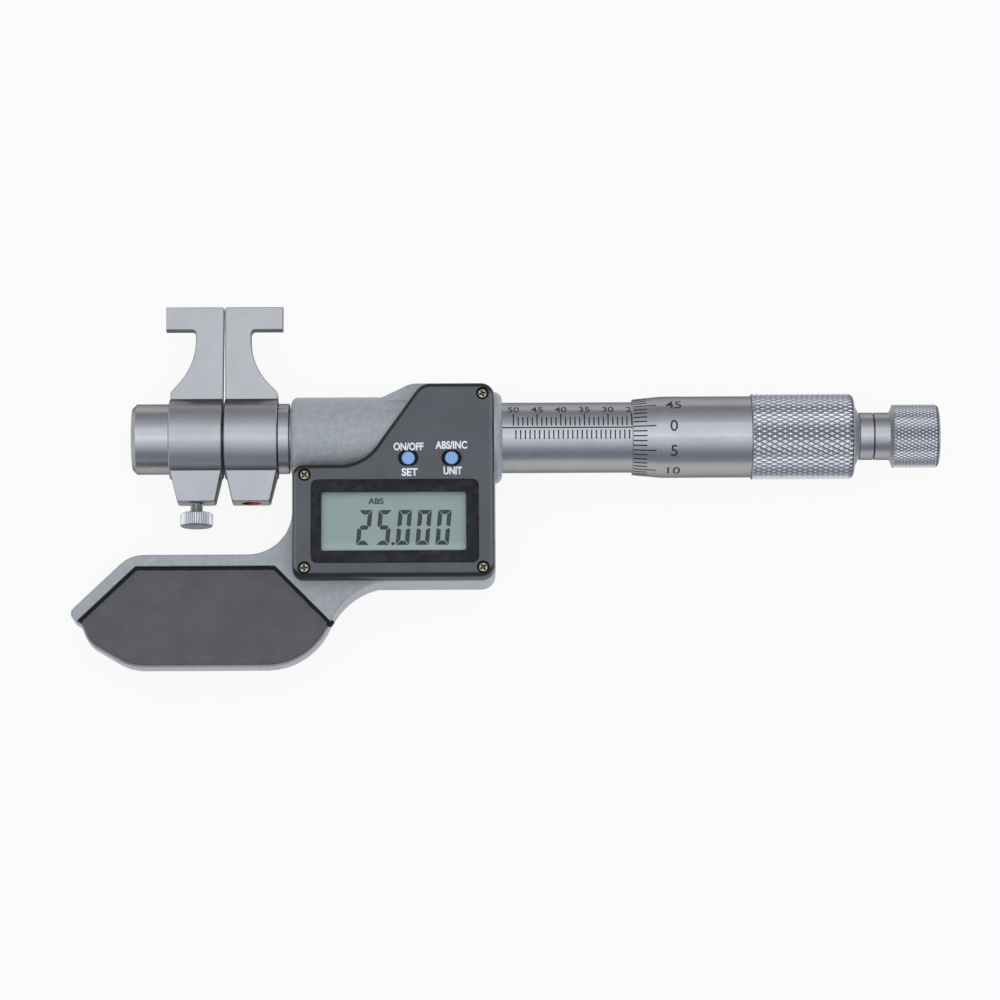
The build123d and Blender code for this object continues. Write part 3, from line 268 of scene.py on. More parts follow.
NEAR_BLACK = (0.008, 0.008, 0.009)
# Painted shade at the foot of the knurls' grooves
KNURL_GROOVE_PAINTED_SHADE = (0.17, 0.175, 0.19)
NOISE_ROUGHNESS = 0.55
METAL_SMUDGE = 0.03
# Painted shade below the cover's face, and painted highlight and shade on its edges, set by how far the
# surface turns along each axis
COVER_PAINTED_SHADE_DROP = (1.02, 0.9)
COVER_PAINTED_LIGHT_BANDS = (
    ("X", 0.10, 0.30, (0.15, 0.155, 0.16)),
    ("X", 0.60, 0.85, (0.03, 0.03, 0.033)),
    ("Y", 0.02, 0.22, NEAR_BLACK),
)
# Painted shade over the buttons' rounded edges
BUTTON_PAINTED_SHADE_DROP = (0.3, 0.02)
# Painted highlight on the bottom faces of the jaws' tails
TAIL_PAINTED_HIGHLIGHT_RISE = (0.03, 0.15)
LCD_TOP_SHADE = 2.6
LCD_BOTTOM_SHINE = 2.2
# Share of the grooves' depth at which their painted shade ends
GROOVE_SHADE_END = 0.45


def new_material(name, colour, roughness, metallic=0.0, **sockets):
    """Principled material whose constant values sit on the shader's own sockets."""
    made = bpy.data.materials.new(name)
    made.use_nodes = True
    shader = made.node_tree.nodes["Principled BSDF"]
    shader.inputs["Base Color"].default_value = (*colour, 1)
    shader.inputs["Roughness"].default_value = roughness
    shader.inputs["Metallic"].default_value = metallic
    for key, value in sockets.items():
        shader.inputs[key.replace("_", " ")].default_value = value
    return made


def noise_of(tree, size, detail=3.0, stretch=(1, 1, 1)):
    """Noise with features of a size in millimetres, optionally drawn out along an axis."""
    place = add_node(tree, "TexCoord").outputs["Object"]
    scaled = vector_math(tree, "MULTIPLY", _0=place, _1=stretch)[0]
    return add_node(
        tree, "TexNoise", None, Vector=scaled, Scale=1 / (size * MM), Detail=detail, Roughness=NOISE_ROUGHNESS
    ).outputs[0]


def scaled(colour, factor):
    return tuple(min(1.0, c * factor) for c in colour)


def vary_colour(made, noise, dark, light, low=0.35, high=0.65):
    """Colours the surface between two colours by a noise."""
    tree = made.node_tree
    share = spread(tree, noise, low, high)
    mix = add_node(tree, "MixRGB", None, Fac=share, Color1=(*dark, 1), Color2=(*light, 1))
    tree.links.new(mix.outputs[0], tree.nodes["Principled BSDF"].inputs["Base Color"])


def vary_roughness(made, noise, low, high):
    tree = made.node_tree
    tree.links.new(spread(tree, noise, 0.3, 0.7, low, high), tree.nodes["Principled BSDF"].inputs["Roughness"])


def blend_base(made, share, colour):
    """Lets the base colour fall to another colour where the share is low."""
    tree = made.node_tree
    base = tree.nodes["Principled BSDF"].inputs["Base Color"]
    usual = base.links[0].from_socket
    mix = add_node(tree, "MixRGB", None, Fac=share, Color1=(*colour, 1), Color2=usual)
    tree.links.new(mix.outputs[0], base)


def add_bump(made, *noises):
    """Bump from (noise, height in millimetres) pairs."""
    tree = made.node_tree
    height = 0.0
    for noise, depth in noises:
        height = calculated(tree, height, calculated(tree, noise, depth * MM, "MULTIPLY"))
    bump = add_node(tree, "Bump", None, Strength=1.0, Distance=1.0, Height=height)
    tree.links.new(bump.outputs[0], tree.nodes["Principled BSDF"].inputs["Normal"])


def casting_paint():
    """Hammered grey enamel: soft light and dark cells with a low orange peel."""
    made = new_material("casting_paint", (0.40, 0.42, 0.42), 0.42)
    tree = made.node_tree
    cells = noise_of(tree, 1.1)
    fine = noise_of(tree, 0.35, detail=2.0)
    vary_colour(made, shared(tree, cells, 0.6, fine), (0.345, 0.362, 0.366), (0.43, 0.445, 0.45), 0.38, 0.62)
    vary_roughness(made, fine, 0.3, 0.46)
    add_bump(made, (cells, 0.05), (fine, 0.01))
    return made


def grained_plastic(name, dark, light, grain, depth, roughness, specular=0.5):
    """Moulded plastic or rubber with a spark-eroded grain."""
    made = new_material(name, light, roughness, Specular_IOR_Level=specular)
    tree = made.node_tree
    speck = noise_of(tree, grain, detail=4.0)
    cloud = noise_of(tree, 6.0, detail=2.0)
    vary_colour(made, shared(tree, speck, 0.7, cloud), dark, light, 0.4, 0.6)
    vary_roughness(made, speck, roughness - 0.08, roughness + 0.1)
    add_bump(made, (speck, depth))
    return made


def cover_plastic():
    """Moulded cover: matt face; painted shade turns the long edges, the outermost upright edges and the
    recesses near black, and a painted highlight lightens the upright edges.
    """
    made = grained_plastic(
        "cover_plastic", (0.082, 0.084, 0.090), (0.112, 0.114, 0.122), grain=0.22, depth=0.012, roughness=0.5,
        specular=0.4,
    )
    tree = made.node_tree
    normal = add_node(tree, "TexCoord").outputs["Normal"]
    slope = vector_math(tree, "ABSOLUTE", _0=normal)[0]
    parts = add_node(tree, "SeparateXYZ", Vector=slope).outputs
    for axis, start, end, colour in COVER_PAINTED_LIGHT_BANDS:
        blend_base(made, spread(tree, parts[axis], start, end, 1.0, 0.0), colour)
    # Painted shade in the recesses and on the walls more than a millimetre below the face
    foot, crest = (COVER_FRONT - drop for drop in COVER_PAINTED_SHADE_DROP)
    blend_base(made, spread_along(tree, "Z", foot, crest), NEAR_BLACK)
    return made


def button_plastic():
    """Blue button, lighter on its crown, with painted shade over its rounded edge."""
    made = grained_plastic(
        "button_blue", (0.22, 0.41, 0.71), (0.29, 0.50, 0.80), grain=0.3, depth=0.004, roughness=0.4
    )
    top = limits("on_off_button")[1].z
    foot, crest = (top - drop for drop in BUTTON_PAINTED_SHADE_DROP)
    blend_base(made, spread_along(made.node_tree, "Z", foot, crest), (0.05, 0.12, 0.40))
    return made


def metal(name, colour, roughness, lay=(1, 1, 1), grain=0.12, depth=0.0012, edge=0.15):
    """Metal with a fine lay from turning or grinding and faint handling smudges."""
    made = new_material(name, colour, roughness, 1.0, Specular_Tint=(edge, edge, edge, 1))
    tree = made.node_tree
    lines = noise_of(tree, grain, detail=4.0, stretch=lay)
    cloud = noise_of(tree, 4.0)
    vary_colour(made, cloud, scaled(colour, 1 - METAL_SMUDGE), scaled(colour, 1 + METAL_SMUDGE))
    vary_roughness(made, lines, roughness - 0.05, roughness + 0.06)
    add_bump(made, (lines, depth))
    return made


def jaw_chrome():
    """Satin chrome, with a painted highlight that makes the bottom faces of the jaws' tails bright."""
    made = metal("satin_chrome", (0.38, 0.38, 0.39), 0.32, grain=0.09, depth=0.0014)
    foot = limits("fixed_jaw")[0].y
    low, high = (foot + rise for rise in TAIL_PAINTED_HIGHLIGHT_RISE)
    blend_base(made, spread_along(made.node_tree, "Y", low, high), (0.86, 0.85, 0.83))
    return made


def knurled_metal(name, centre, across_axis, radius, depth, colour, roughness, groove):
    """Chrome whose colour falls towards the foot of the grooves as painted shade.

    The grooves run round an axis through the centre; across_axis is 0 along that axis and 1
    across it.
    """
    made = metal(name, colour, roughness, grain=0.08, depth=0.0008, edge=0.5)
    tree = made.node_tree
    place = add_node(tree, "TexCoord").outputs["Object"]
    aside = vector_math(tree, "SUBTRACT", _0=place, _1=tuple(centre))[0]
    across = vector_math(tree, "MULTIPLY", _0=aside, _1=across_axis)[0]
    reach = vector_math(tree, "LENGTH", _0=across)["Value"]
    share = spread(tree, reach, (radius - depth) * MM, (radius - GROOVE_SHADE_END * depth) * MM)
    blend_base(made, share, groove)
    return made


def window_glass():
    """Clear cover glass: what lies under it shows, with the gloss of its face on top."""
    made = empty_material("window_glass")
    tree = made.node_tree
    clear = add_node(tree, "BsdfTransparent", None, Color=(0.93, 0.94, 0.94, 1))
    gloss = add_node(tree, "BsdfGlossy", None, Color=(1, 1, 1, 1), Roughness=0.06)
    mirrored = add_node(tree, "Fresnel", None, IOR=1.22).outputs[0]
    front = calculated(tree, 1.0, add_node(tree, "NewGeometry").outputs["Backfacing"], "SUBTRACT")
    mix_shaders(made, calculated(tree, mirrored, front, "MULTIPLY"), clear, gloss)
    return made


def printed(name, colour, roughness=0.6, specular=0.5):
    """Ink or engraving fill with slightly uneven cover."""
    made = new_material(name, colour, roughness, Specular_IOR_Level=specular)
    vary_colour(made, noise_of(made.node_tree, 0.3), scaled(colour, 0.82), scaled(colour, 1.12))
    return made


def border_print():
    """Matt black print under glass with faint dusty clouds."""
    made = new_material("window_border", (0.01, 0.01, 0.01), 0.8, Specular_IOR_Level=0.15)
    cloud = noise_of(made.node_tree, 1.6, detail=4.0)
    vary_colour(made, cloud, (0.006, 0.006, 0.007), (0.04, 0.04, 0.04), 0.42, 0.75)
    return made


def reflective_lcd():
    """Grey-green reflective display with a fine grain, shaded at its top and lit at its bottom."""
    made = new_material("reflective_lcd", (0.36, 0.43, 0.37), 0.5)
    tree = made.node_tree
    grain = noise_of(tree, 0.12, detail=2.0)
    cloud = noise_of(tree, 9.0, detail=1.0)
    vary_colour(made, shared(tree, grain, 0.3, cloud), (0.385, 0.478, 0.41), (0.445, 0.54, 0.47))
    shaded = spread_along(tree, "Y", VIEW_TOP - LCD_TOP_SHADE, VIEW_TOP, 1.0, 0.6)
    blend_base(made, shaded, (0.36, 0.47, 0.42))
    lit = spread_along(tree, "Y", VIEW_BOTTOM, VIEW_BOTTOM + LCD_BOTTOM_SHINE, 0.2, 1.0)
    blend_base(made, lit, (0.66, 0.79, 0.70))
    return made


def circuit_laminate():
    """Green board with a faint glass weave."""
    made = new_material("circuit_laminate", (0.02, 0.13, 0.06), 0.4)
    weave = noise_of(made.node_tree, 0.3, detail=2.0)
    vary_colour(made, weave, (0.015, 0.10, 0.045), (0.03, 0.16, 0.08))
    return made


ROUND_SPINDLE = (0, 1, 1)
ROUND_CLAMP_SCREW = (1, 0, 1)
TURNED_LAY = (1, 0.05, 0.05)

MATERIALS = {
    "paint": casting_paint(),
    "cover": cover_plastic(),
    "pad": grained_plastic(
        "pad_rubber", (0.085, 0.080, 0.084), (0.125, 0.118, 0.123), grain=0.3, depth=0.02, roughness=0.7
    ),
    "black_rubber": grained_plastic(
        "black_rubber", NEAR_BLACK, (0.02, 0.02, 0.022), grain=0.2, depth=0.008, roughness=0.6, specular=0.15
    ),
    "cap": grained_plastic(
        "cap_plastic", (0.05, 0.05, 0.055), (0.08, 0.08, 0.086), grain=0.22, depth=0.012, roughness=0.5
    ),
    "button": button_plastic(),
    "satin": jaw_chrome(),
    "turned": metal(
        "turned_chrome", (0.39, 0.39, 0.40), 0.25, lay=(1, 0.04, 0.04), grain=0.14, depth=0.0002, edge=0.35
    ),
    # Lighter copy of the turned chrome for the cones: painted light, with a rougher satin finish
    "cone": metal("satin_cone_painted_light", (0.50, 0.50, 0.52), 0.6, grain=0.1, depth=0.001, edge=0.8),
    # The knurled and ribbed chromes are lighter than the turned chrome as a painted highlight on their crests;
    # painted shade darkens their grooves.
    "knurl": knurled_metal(
        "knurled_chrome", datum, ROUND_SPINDLE, GRIP_RADIUS, GRIP_DEPTH, (0.75, 0.75, 0.78), 0.2, KNURL_GROOVE_PAINTED_SHADE
    ),
    "fine_knurl": knurled_metal(
        "fine_knurled_chrome", datum, ROUND_SPINDLE, KNOB_RADIUS, KNOB_DEPTH, (0.70, 0.70, 0.73), 0.2,
        KNURL_GROOVE_PAINTED_SHADE,
    ),
    "ribs": knurled_metal(
        "ribbed_chrome", at(CLAMP_X, 0, 0), ROUND_CLAMP_SCREW, CLAMP_HEAD_RADIUS, CLAMP_RIB_DEPTH,
        (0.88, 0.88, 0.90), 0.45, (0.36, 0.37, 0.38),
    ),
    "steel": metal("bright_steel", (0.40, 0.40, 0.42), 0.18, lay=TURNED_LAY, grain=0.1, depth=0.0008),
    "rod": metal("rod_steel", (0.27, 0.27, 0.28), 0.3, lay=TURNED_LAY, grain=0.1, depth=0.0008),
    "dark_steel": metal("dark_steel", (0.07, 0.07, 0.075), 0.4, depth=0.003),
    "shank": metal("oiled_steel", (0.50, 0.50, 0.51), 0.4, depth=0.003, edge=0.5),
    "nickel": metal("nickel_screw", (0.35, 0.315, 0.225), 0.3, grain=0.1, depth=0.002),
    "brass": metal("brass_nut", (0.62, 0.46, 0.2), 0.3, lay=TURNED_LAY),
    "glass": window_glass(),
    "lcd": reflective_lcd(),
    "laminate": circuit_laminate(),
    "engraved": printed("engraved_black", (0.018, 0.018, 0.02)),
    "label": printed("label_white", (0.93, 0.93, 0.93)),
    "border": border_print(),
    "segment": printed("lcd_segment", (0.030, 0.037, 0.062), 0.5),
    "lacquer": printed("red_lacquer", (0.50, 0.006, 0.008), specular=0.1),
}

NODE_MATERIALS = {
    "paint": ["frame_casting"],
    "pad": ["front_pad", "back_pad"],
    "cover": ["front_cover"],
    "lcd": ["lcd_panel"],
    "laminate": ["circuit_board"],
    "black_rubber": ["button_switches", "button_bezels", "cap_o_ring"],
    "button": ["on_off_button", "mode_button"],
    "rod": ["guide_rod"],
    "steel": ["spindle", "battery", "inner_sleeve", "encoder_stator", "encoder_rotor"],
    "nickel": ["battery_contact", "spindle_clip", "ratchet_spring"],
    "cap": ["battery_cap"],
    "satin": ["fixed_jaw", "moving_jaw"],
    "turned": ["sleeve", "jaw_holder", "guide_bush", "ratchet_body"],
    "dark_steel": ["key_screw", "ratchet_pawl", "ratchet_screw"],
    "brass": ["adjusting_nut"],
    "glass": ["display_window"],
}


def finish_nodes():
    """Gives each CAD node its material."""
    for material, names in NODE_MATERIALS.items():
        for name in names:
            mesh = nodes[name].data
            for index in range(len(mesh.materials)):
                mesh.materials[index] = MATERIALS[material]


# Meshes


def add_piece(
    name, vertices, faces, material, body, replaced=(),
    flat=(), second=None, toned=(), third=None, sharp=35,
):
    """Makes a piece that rides on a body.

    The faces whose numbers are in flat are shaded flat and take the second material. Those in
    toned take the third.
    """
    mesh = bpy.data.meshes.new(name)
    mesh.from_pydata([tuple(v) for v in vertices], [], faces)
    for key in (material, second, third):
        if key:
            mesh.materials.append(MATERIALS[key])
    flat = set(flat)
    mesh.polygons.foreach_set("use_smooth", [index not in flat for index in range(len(faces))])
    if second:
        mesh.polygons.foreach_set("material_index", [int(index in flat) for index in range(len(faces))])
    for index in toned:
        mesh.polygons[index].material_index = 2
    mesh.set_sharp_from_angle(angle=math.radians(sharp))
    mesh.update()
    piece = add_object(name, mesh)
    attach(piece, body)
    if replaced:
        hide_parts(*replaced)


def turned_mesh(rows, place, closed=True):
    """Vertices, faces and patterned faces from rows given as (distance, radii, diagonals).

    place(distance, radius, angle) gives a point. A row's diagonals says, for each column of
    the strip that follows it, which way the quad is cut; None leaves the quads whole.
    """
    columns = len(rows[0][1])
    vertices = [
        place(distance, radius, FULL_TURN * column / columns)
        for distance, radii, _ in rows
        for column, radius in enumerate(radii)
    ]
    faces = []
    patterned = []
    strips = len(rows) if closed else len(rows) - 1
    for row in range(strips):
        following = (row + 1) % len(rows)
        diagonals = rows[row][2]
        for column in range(columns):
            across = (column + 1) % columns
            a, b = row * columns + column, row * columns + across
            c, d = following * columns + across, following * columns + column
            if diagonals is None:
                faces.append((a, b, c, d))
                continue
            patterned += [len(faces), len(faces) + 1]
            if diagonals[column]:
                faces += [(a, b, d), (b, c, d)]
            else:
                faces += [(a, b, c), (a, c, d)]
    return vertices, faces, patterned


def strip_faces(rows, columns):
    """Quads between neighbouring points of a grid that isn't closed."""
    corners = [row * columns + column for row in range(rows - 1) for column in range(columns - 1)]
    return [(a, a + 1, a + columns + 1, a + columns) for a in corners]


def ring_faces(start, count):
    """Quads between two closed rings of points, of which one follows the other."""
    pairs = [(start + n, start + (n + 1) % count) for n in range(count)]
    return [(a, b, b + count, a + count) for a, b in pairs]


def faces_between(vertices, faces, low, high):
    """Numbers of the faces whose corners all lie between two places along the spindle line."""
    inside = [low <= (vertex.x - datum.x) / MM <= high for vertex in vertices]
    return [number for number, face in enumerate(faces) if all(inside[corner] for corner in face)]


CELLS = 8
KNURL_FLAT = 0.40


def knurl_rows(left, right, pitch, columns, profile, depth):
    """Rows of a diamond knurl: grooves along both diagonals of a regular grid.

    The crests follow the profile, which is given as (distance, radius) places.
    """
    count = round((right - left) / pitch * CELLS)
    rows = []
    for row in range(count + 1):
        distance = left + (right - left) * row / count
        radius = crest_radius(profile, distance)
        radii = []
        diagonals = []
        for column in range(columns):
            rising = (row - column) % CELLS
            falling = (row + column) % CELLS
            near = min(rising, CELLS - rising, falling, CELLS - falling)
            radii.append(radius - depth * (1 - min(1.0, near / (CELLS * KNURL_FLAT))))
            falling = (falling + 1) % CELLS
            diagonals.append(min(falling, CELLS - falling) < min(rising, CELLS - rising))
        rows.append((distance, radii, diagonals))
    distance, radii, _ = rows[-1]
    rows[-1] = (distance, radii, None)
    return rows


def crest_radius(profile, distance):
    """Radius at a distance along straight lines between (distance, radius) places."""
    for (x0, r0), (x1, r1) in zip(profile, profile[1:]):
        if distance <= x1:
            return r0 + (r1 - r0) * max(0.0, distance - x0) / (x1 - x0)
    return profile[-1][1]


def plain_rows(profile, columns):
    return [(x, [radius] * columns, None) for x, radius in profile]


THIMBLE_EDGE_RADIUS = 8.05
THIMBLE_RADIUS = 8.65
BEVEL_LENGTH = 6.2
GRIP_LEFT = 25.2
GRIP_DIAMONDS = 52
GRIP_PITCH = 2.2
THIMBLE_BORE_RADIUS = 7.6
THIMBLE_BOTTOM = 41.0
THIMBLE_CONE_LEFT = 46.9
THIMBLE_CONE_RIGHT = 48.35
SHELL_SHARP_ANGLE = 24


def bevel_radius(x):
    """Outside radius of the thimble's bevel at a distance from its left edge."""
    return THIMBLE_EDGE_RADIUS + (THIMBLE_RADIUS - THIMBLE_EDGE_RADIUS) * min(1.0, x / BEVEL_LENGTH)


def thimble_shell():
    """Thimble with its bevel, knurled grip, stepped right end and bore."""
    columns = GRIP_DIAMONDS * CELLS
    left = THIMBLE_LEFT
    start = left + GRIP_LEFT
    outside = [
        (left, THIMBLE_EDGE_RADIUS - 0.1),
        (left + 0.1, THIMBLE_EDGE_RADIUS),
        (left + BEVEL_LENGTH, THIMBLE_RADIUS),
        (left + BEVEL_LENGTH + 0.05, THIMBLE_RADIUS),
        (start - 0.02, THIMBLE_RADIUS),
        (start, THIMBLE_RADIUS),
        (start + 0.12, GRIP_RADIUS - 0.1),
        (start + 0.25, GRIP_RADIUS),
        (start + 0.3, GRIP_RADIUS),
    ]
    crest = [
        (start, GRIP_RADIUS),
        (left + 45.9, GRIP_RADIUS),
        (left + 46.5, GRIP_RADIUS - 0.2),
        (left + 46.95, GRIP_RADIUS - 0.65),
    ]
    grip = knurl_rows(start + 0.34, left + 46.62, GRIP_PITCH, columns, crest, GRIP_DEPTH)
    ending = [
        (left + 46.75, GRIP_RADIUS - 0.45),
        (left + 46.95, GRIP_RADIUS - 0.65),
        (left + 47.1, GRIP_RADIUS - 1.1),
        (left + 47.25, 7.1),
        (left + 47.3, 6.7),
        (left + 47.5, 6.2),
        (left + 48.15, 5.05),
        (left + 48.3, 4.85),
        (left + 48.3, 2.82),
        (left + THIMBLE_BOTTOM, 3.52),
        (left + THIMBLE_BOTTOM, THIMBLE_BORE_RADIUS),
        (left, THIMBLE_BORE_RADIUS),
    ]
    rows = plain_rows(outside, columns) + grip + plain_rows(ending, columns)
    vertices, faces, patterned = turned_mesh(rows, around)
    # The cone's faces take the lighter cone chrome as painted light.
    cone = faces_between(vertices, faces, left + THIMBLE_CONE_LEFT, left + THIMBLE_CONE_RIGHT)
    add_piece(
        "thimble_shell", vertices, faces, "turned", "thimble_group", ["thimble"],
        flat=patterned, second="knurl", toned=cone, third="cone", sharp=SHELL_SHARP_ANGLE,
    )


KNOB_DIAMONDS = 55
KNOB_PITCH = 1.47
KNOB_CONE_LEFT = 3.2
KNOB_CONE_RIGHT = 4.12


def knob_shell():
    """Ratchet knob with its neck, finer knurl, rounded end and screw recess."""
    columns = KNOB_DIAMONDS * CELLS
    radius = KNOB_RADIUS
    left, right = knob_low.x, knob_high.x
    neck = [
        (left, 3.9),
        (left, 4.9),
        (left + 0.15, 5.05),
        (left + 0.4, 5.05),
        (left + 3.0, 5.05),
        (left + 3.28, 5.05),
        (left + 3.5, 5.4),
        (left + 3.98, radius - 0.08),
        (left + 4.1, radius),
    ]
    crest = [(left, radius), (right - 0.85, radius), (right - 0.3, radius - 0.25)]
    grip = knurl_rows(left + 4.15, right - 0.5, KNOB_PITCH, columns, crest, KNOB_DEPTH)
    ending = [
        (right - 0.42, radius - 0.2),
        (right - 0.3, radius - 0.25),
        (right - 0.08, radius - 0.5),
        (right, radius - 0.85),
        (right, 3.75),
        (right - 0.12, 3.6),
        (right - 3.0, 3.6),
        (right - 3.0, 2.25),
        (right - 6.8, 2.25),
        (right - 6.8, 3.9),
    ]
    rows = plain_rows(neck, columns) + grip + plain_rows(ending, columns)
    vertices, faces, patterned = turned_mesh(rows, around)
    # The cone's faces take the lighter cone chrome as painted light.
    cone = faces_between(vertices, faces, left + KNOB_CONE_LEFT, left + KNOB_CONE_RIGHT)
    add_piece(
        "knob_shell", vertices, faces, "turned", "ratchet_group", ["ratchet_knob"],
        flat=patterned, second="fine_knurl", toned=cone, third="cone", sharp=SHELL_SHARP_ANGLE,
    )


# Scales

ZERO_ANGLE = math.radians(6.0)
DIVISIONS = 50
FIFTH = 5
MARK_WIDTH = 0.29
MARK_STEP = 2
LETTER_SLICE = 0.25
SLEEVE_RADIUS = (sleeve_high.z - sleeve_low.z) / 2 / MM
FIRST_MARK_X = 2.8
SLEEVE_MARKS = 26
SLEEVE_LAST_NUMBER = 50

# Ends of the sleeve's marks, in degrees above the front
MARK_FOOT = 9.2
MARK_TOP = 24.6
FIFTH_MARK_TOP = 31.8
HALF_MARK_TOP = 2.0
HALF_MARK_FOOT = -12.8

SLEEVE_NUMBER_ANGLE = math.radians(42.0)
SLEEVE_NUMBER_HEIGHT = 1.85
SLEEVE_NUMBER_WEIGHT = 0.012

# Lengths along the thimble, from its left edge
THIMBLE_MARK_START = 0.14
THIMBLE_MARK_BEND = 0.3
THIMBLE_MARK_END = 3.05
THIMBLE_FIFTH_END = 4.97
THIMBLE_NUMBER_X = 8.7
THIMBLE_NUMBER_HEIGHT = 2.5
THIMBLE_NUMBER_WEIGHT = 0.006


class Sheet:
    """Collects the vertices and faces of thin print."""

    def __init__(self):
        self.vertices = []
        self.faces = []

    def add(self, points, faces):
        start = len(self.vertices)
        self.vertices += points
        self.faces += [tuple(start + corner for corner in face) for face in faces]

    def strip(self, columns):
        """Ribbon through pairs of points."""
        points = [point for pair in columns for point in pair]
        faces = [(2 * n, 2 * n + 1, 2 * n + 3, 2 * n + 2) for n in range(len(columns) - 1)]
        self.add(points, faces)


def ring_mark(sheet, x, start, end, radius):
    """Mark that runs round a cylinder at one place along it, between two angles in degrees."""
    steps = max(2, math.ceil(abs(end - start) / MARK_STEP))
    pairs = []
    for step in range(steps + 1):
        angle = math.radians(start + (end - start) * step / steps)
        pairs.append([around(x + aside, radius, angle) for aside in (-MARK_WIDTH / 2, MARK_WIDTH / 2)])
    sheet.strip(pairs)


def long_mark(sheet, places, angle):
    """Mark that runs along a turned surface, through (x, radius) places."""
    pairs = []
    for x, radius in places:
        half = MARK_WIDTH / 2 / radius
        pairs.append((around(x, radius, angle + half), around(x, radius, angle - half)))
    sheet.strip(pairs)


def glyphs(words, height, width=None, weight=0.0):
    """Flat letters about the origin as points (u, v) and faces, scaled to a height and width."""
    curve = bpy.data.curves.new("words", "FONT")
    curve.body = words
    curve.resolution_u = 4
    curve.offset = weight
    holder = add_object("words", curve)
    graph = bpy.context.evaluated_depsgraph_get()
    mesh = bpy.data.meshes.new_from_object(holder.evaluated_get(graph))
    points = [(v.co.x, v.co.y) for v in mesh.vertices]
    faces = [tuple(p.vertices) for p in mesh.polygons]
    bpy.data.objects.remove(holder)
    bpy.data.meshes.remove(mesh)
    bpy.data.curves.remove(curve)
    left, right = min(p[0] for p in points), max(p[0] for p in points)
    low, top = min(p[1] for p in points), max(p[1] for p in points)
    tall = height / (top - low)
    wide = width / (right - left) if width else tall
    middle = ((left + right) / 2, (low + top) / 2)
    return [((u - middle[0]) * wide, (v - middle[1]) * tall) for u, v in points], faces


def split_across(points, faces, step):
    """Cuts flat faces at even heights, so that they can follow a curved surface."""
    cut_points = list(points)
    parts = [list(face) for face in faces]
    low = min(v for _, v in points)
    top = max(v for _, v in points)
    for number in range(1, math.ceil((top - low) / step)):
        level = low + number * step + 1e-5
        divided = []
        made = {}
        for face in parts:
            under, over = [], []
            for here, there in zip(face, face[1:] + face[:1]):
                (u0, v0), (u1, v1) = cut_points[here], cut_points[there]
                (under if v0 < level else over).append(here)
                if (v0 < level) == (v1 < level):
                    continue
                key = (min(here, there), max(here, there))
                if key not in made:
                    share = (level - v0) / (v1 - v0)
                    made[key] = len(cut_points)
                    cut_points.append((u0 + (u1 - u0) * share, level))
                under.append(made[key])
                over.append(made[key])
            divided += [part for part in (under, over) if len(part) > 2]
        parts = divided
    return cut_points, parts


def number_round(sheet, number, x, angle, radius, height, weight):
    """Number on a cylinder, upright when seen from the front."""
    points, faces = split_across(*glyphs(str(number), height, weight=weight), LETTER_SLICE)
    sheet.add([around(x + u, radius, angle + v / radius) for u, v in points], faces)


def add_print(name, sheet, body):
    """Engraved and black-filled marks or numbers."""
    add_piece(name, sheet.vertices, sheet.faces, "engraved", body)


def sleeve_scale():
    """Reference line, millimetre marks above it, half-millimetre marks below, and numbers."""
    radius = SLEEVE_RADIUS + SKIN
    marks = Sheet()
    numbers = Sheet()
    long_mark(marks, [(SLEEVE_LEFT_X + 0.05, radius), (THIMBLE_LEFT + 0.3, radius)], ZERO_ANGLE)
    for mark in range(SLEEVE_MARKS):
        x = FIRST_MARK_X + mark
        ring_mark(marks, x, MARK_FOOT, MARK_TOP if mark % FIFTH else FIFTH_MARK_TOP, radius)
        if mark < SLEEVE_MARKS - 1:
            ring_mark(marks, x + 0.5, HALF_MARK_TOP, HALF_MARK_FOOT, radius)
        if mark % FIFTH == 0:
            number_round(
                numbers, SLEEVE_LAST_NUMBER - mark, x, SLEEVE_NUMBER_ANGLE, radius,
                SLEEVE_NUMBER_HEIGHT, SLEEVE_NUMBER_WEIGHT,
            )
    add_print("sleeve_marks", marks, "frame")
    add_print("sleeve_numbers", numbers, "frame")


def thimble_scale():
    """Fifty divisions round the bevel with a number at each fifth."""
    marks = Sheet()
    numbers = Sheet()
    for division in range(DIVISIONS):
        angle = ZERO_ANGLE - FULL_TURN * division / DIVISIONS
        end = THIMBLE_MARK_END if division % FIFTH else THIMBLE_FIFTH_END
        steps = (THIMBLE_MARK_START, THIMBLE_MARK_BEND, end / 2, end)
        long_mark(marks, [(THIMBLE_LEFT + step, bevel_radius(step) + SKIN) for step in steps], angle)
        if division % FIFTH == 0:
            number_round(
                numbers, division, THIMBLE_LEFT + THIMBLE_NUMBER_X, angle, THIMBLE_RADIUS + SKIN,
                THIMBLE_NUMBER_HEIGHT, THIMBLE_NUMBER_WEIGHT,
            )
    add_print("thimble_marks", marks, "thimble_group")
    add_print("thimble_numbers", numbers, "thimble_group")


# Cover print, display and screws

LABEL_WEIGHT = 0.036
LABELS = (
    ("ON/OFF", -22.5, -16.2, -4.5, -2.8),
    ("SET", -20.8, -17.4, -9.97, -8.25),
    ("ABS/INC", -13.7, -7.0, -4.2, -2.5),
    ("UNIT", -12.0, -8.1, -9.7, -8.0),
)
CORNER_STEPS = 6
BORDER_INSET = 0.02
BORDER_CORNER = 1.35
VIEW_CORNER = 0.5


def flat_words(sheet, words, left, right, bottom, top, height, weight):
    """Words that fill a rectangle at a height along Z."""
    points, faces = glyphs(words, top - bottom, right - left, weight)
    middle_x, middle_y = (left + right) / 2, (bottom + top) / 2
    sheet.add([at(middle_x + u, middle_y + v, height) for u, v in points], faces)


def cover_labels():
    """White words round the two buttons."""
    sheet = Sheet()
    for label in LABELS:
        flat_words(sheet, *label, COVER_FRONT + SKIN, LABEL_WEIGHT)
    add_piece("cover_labels", sheet.vertices, sheet.faces, "label", "frame")


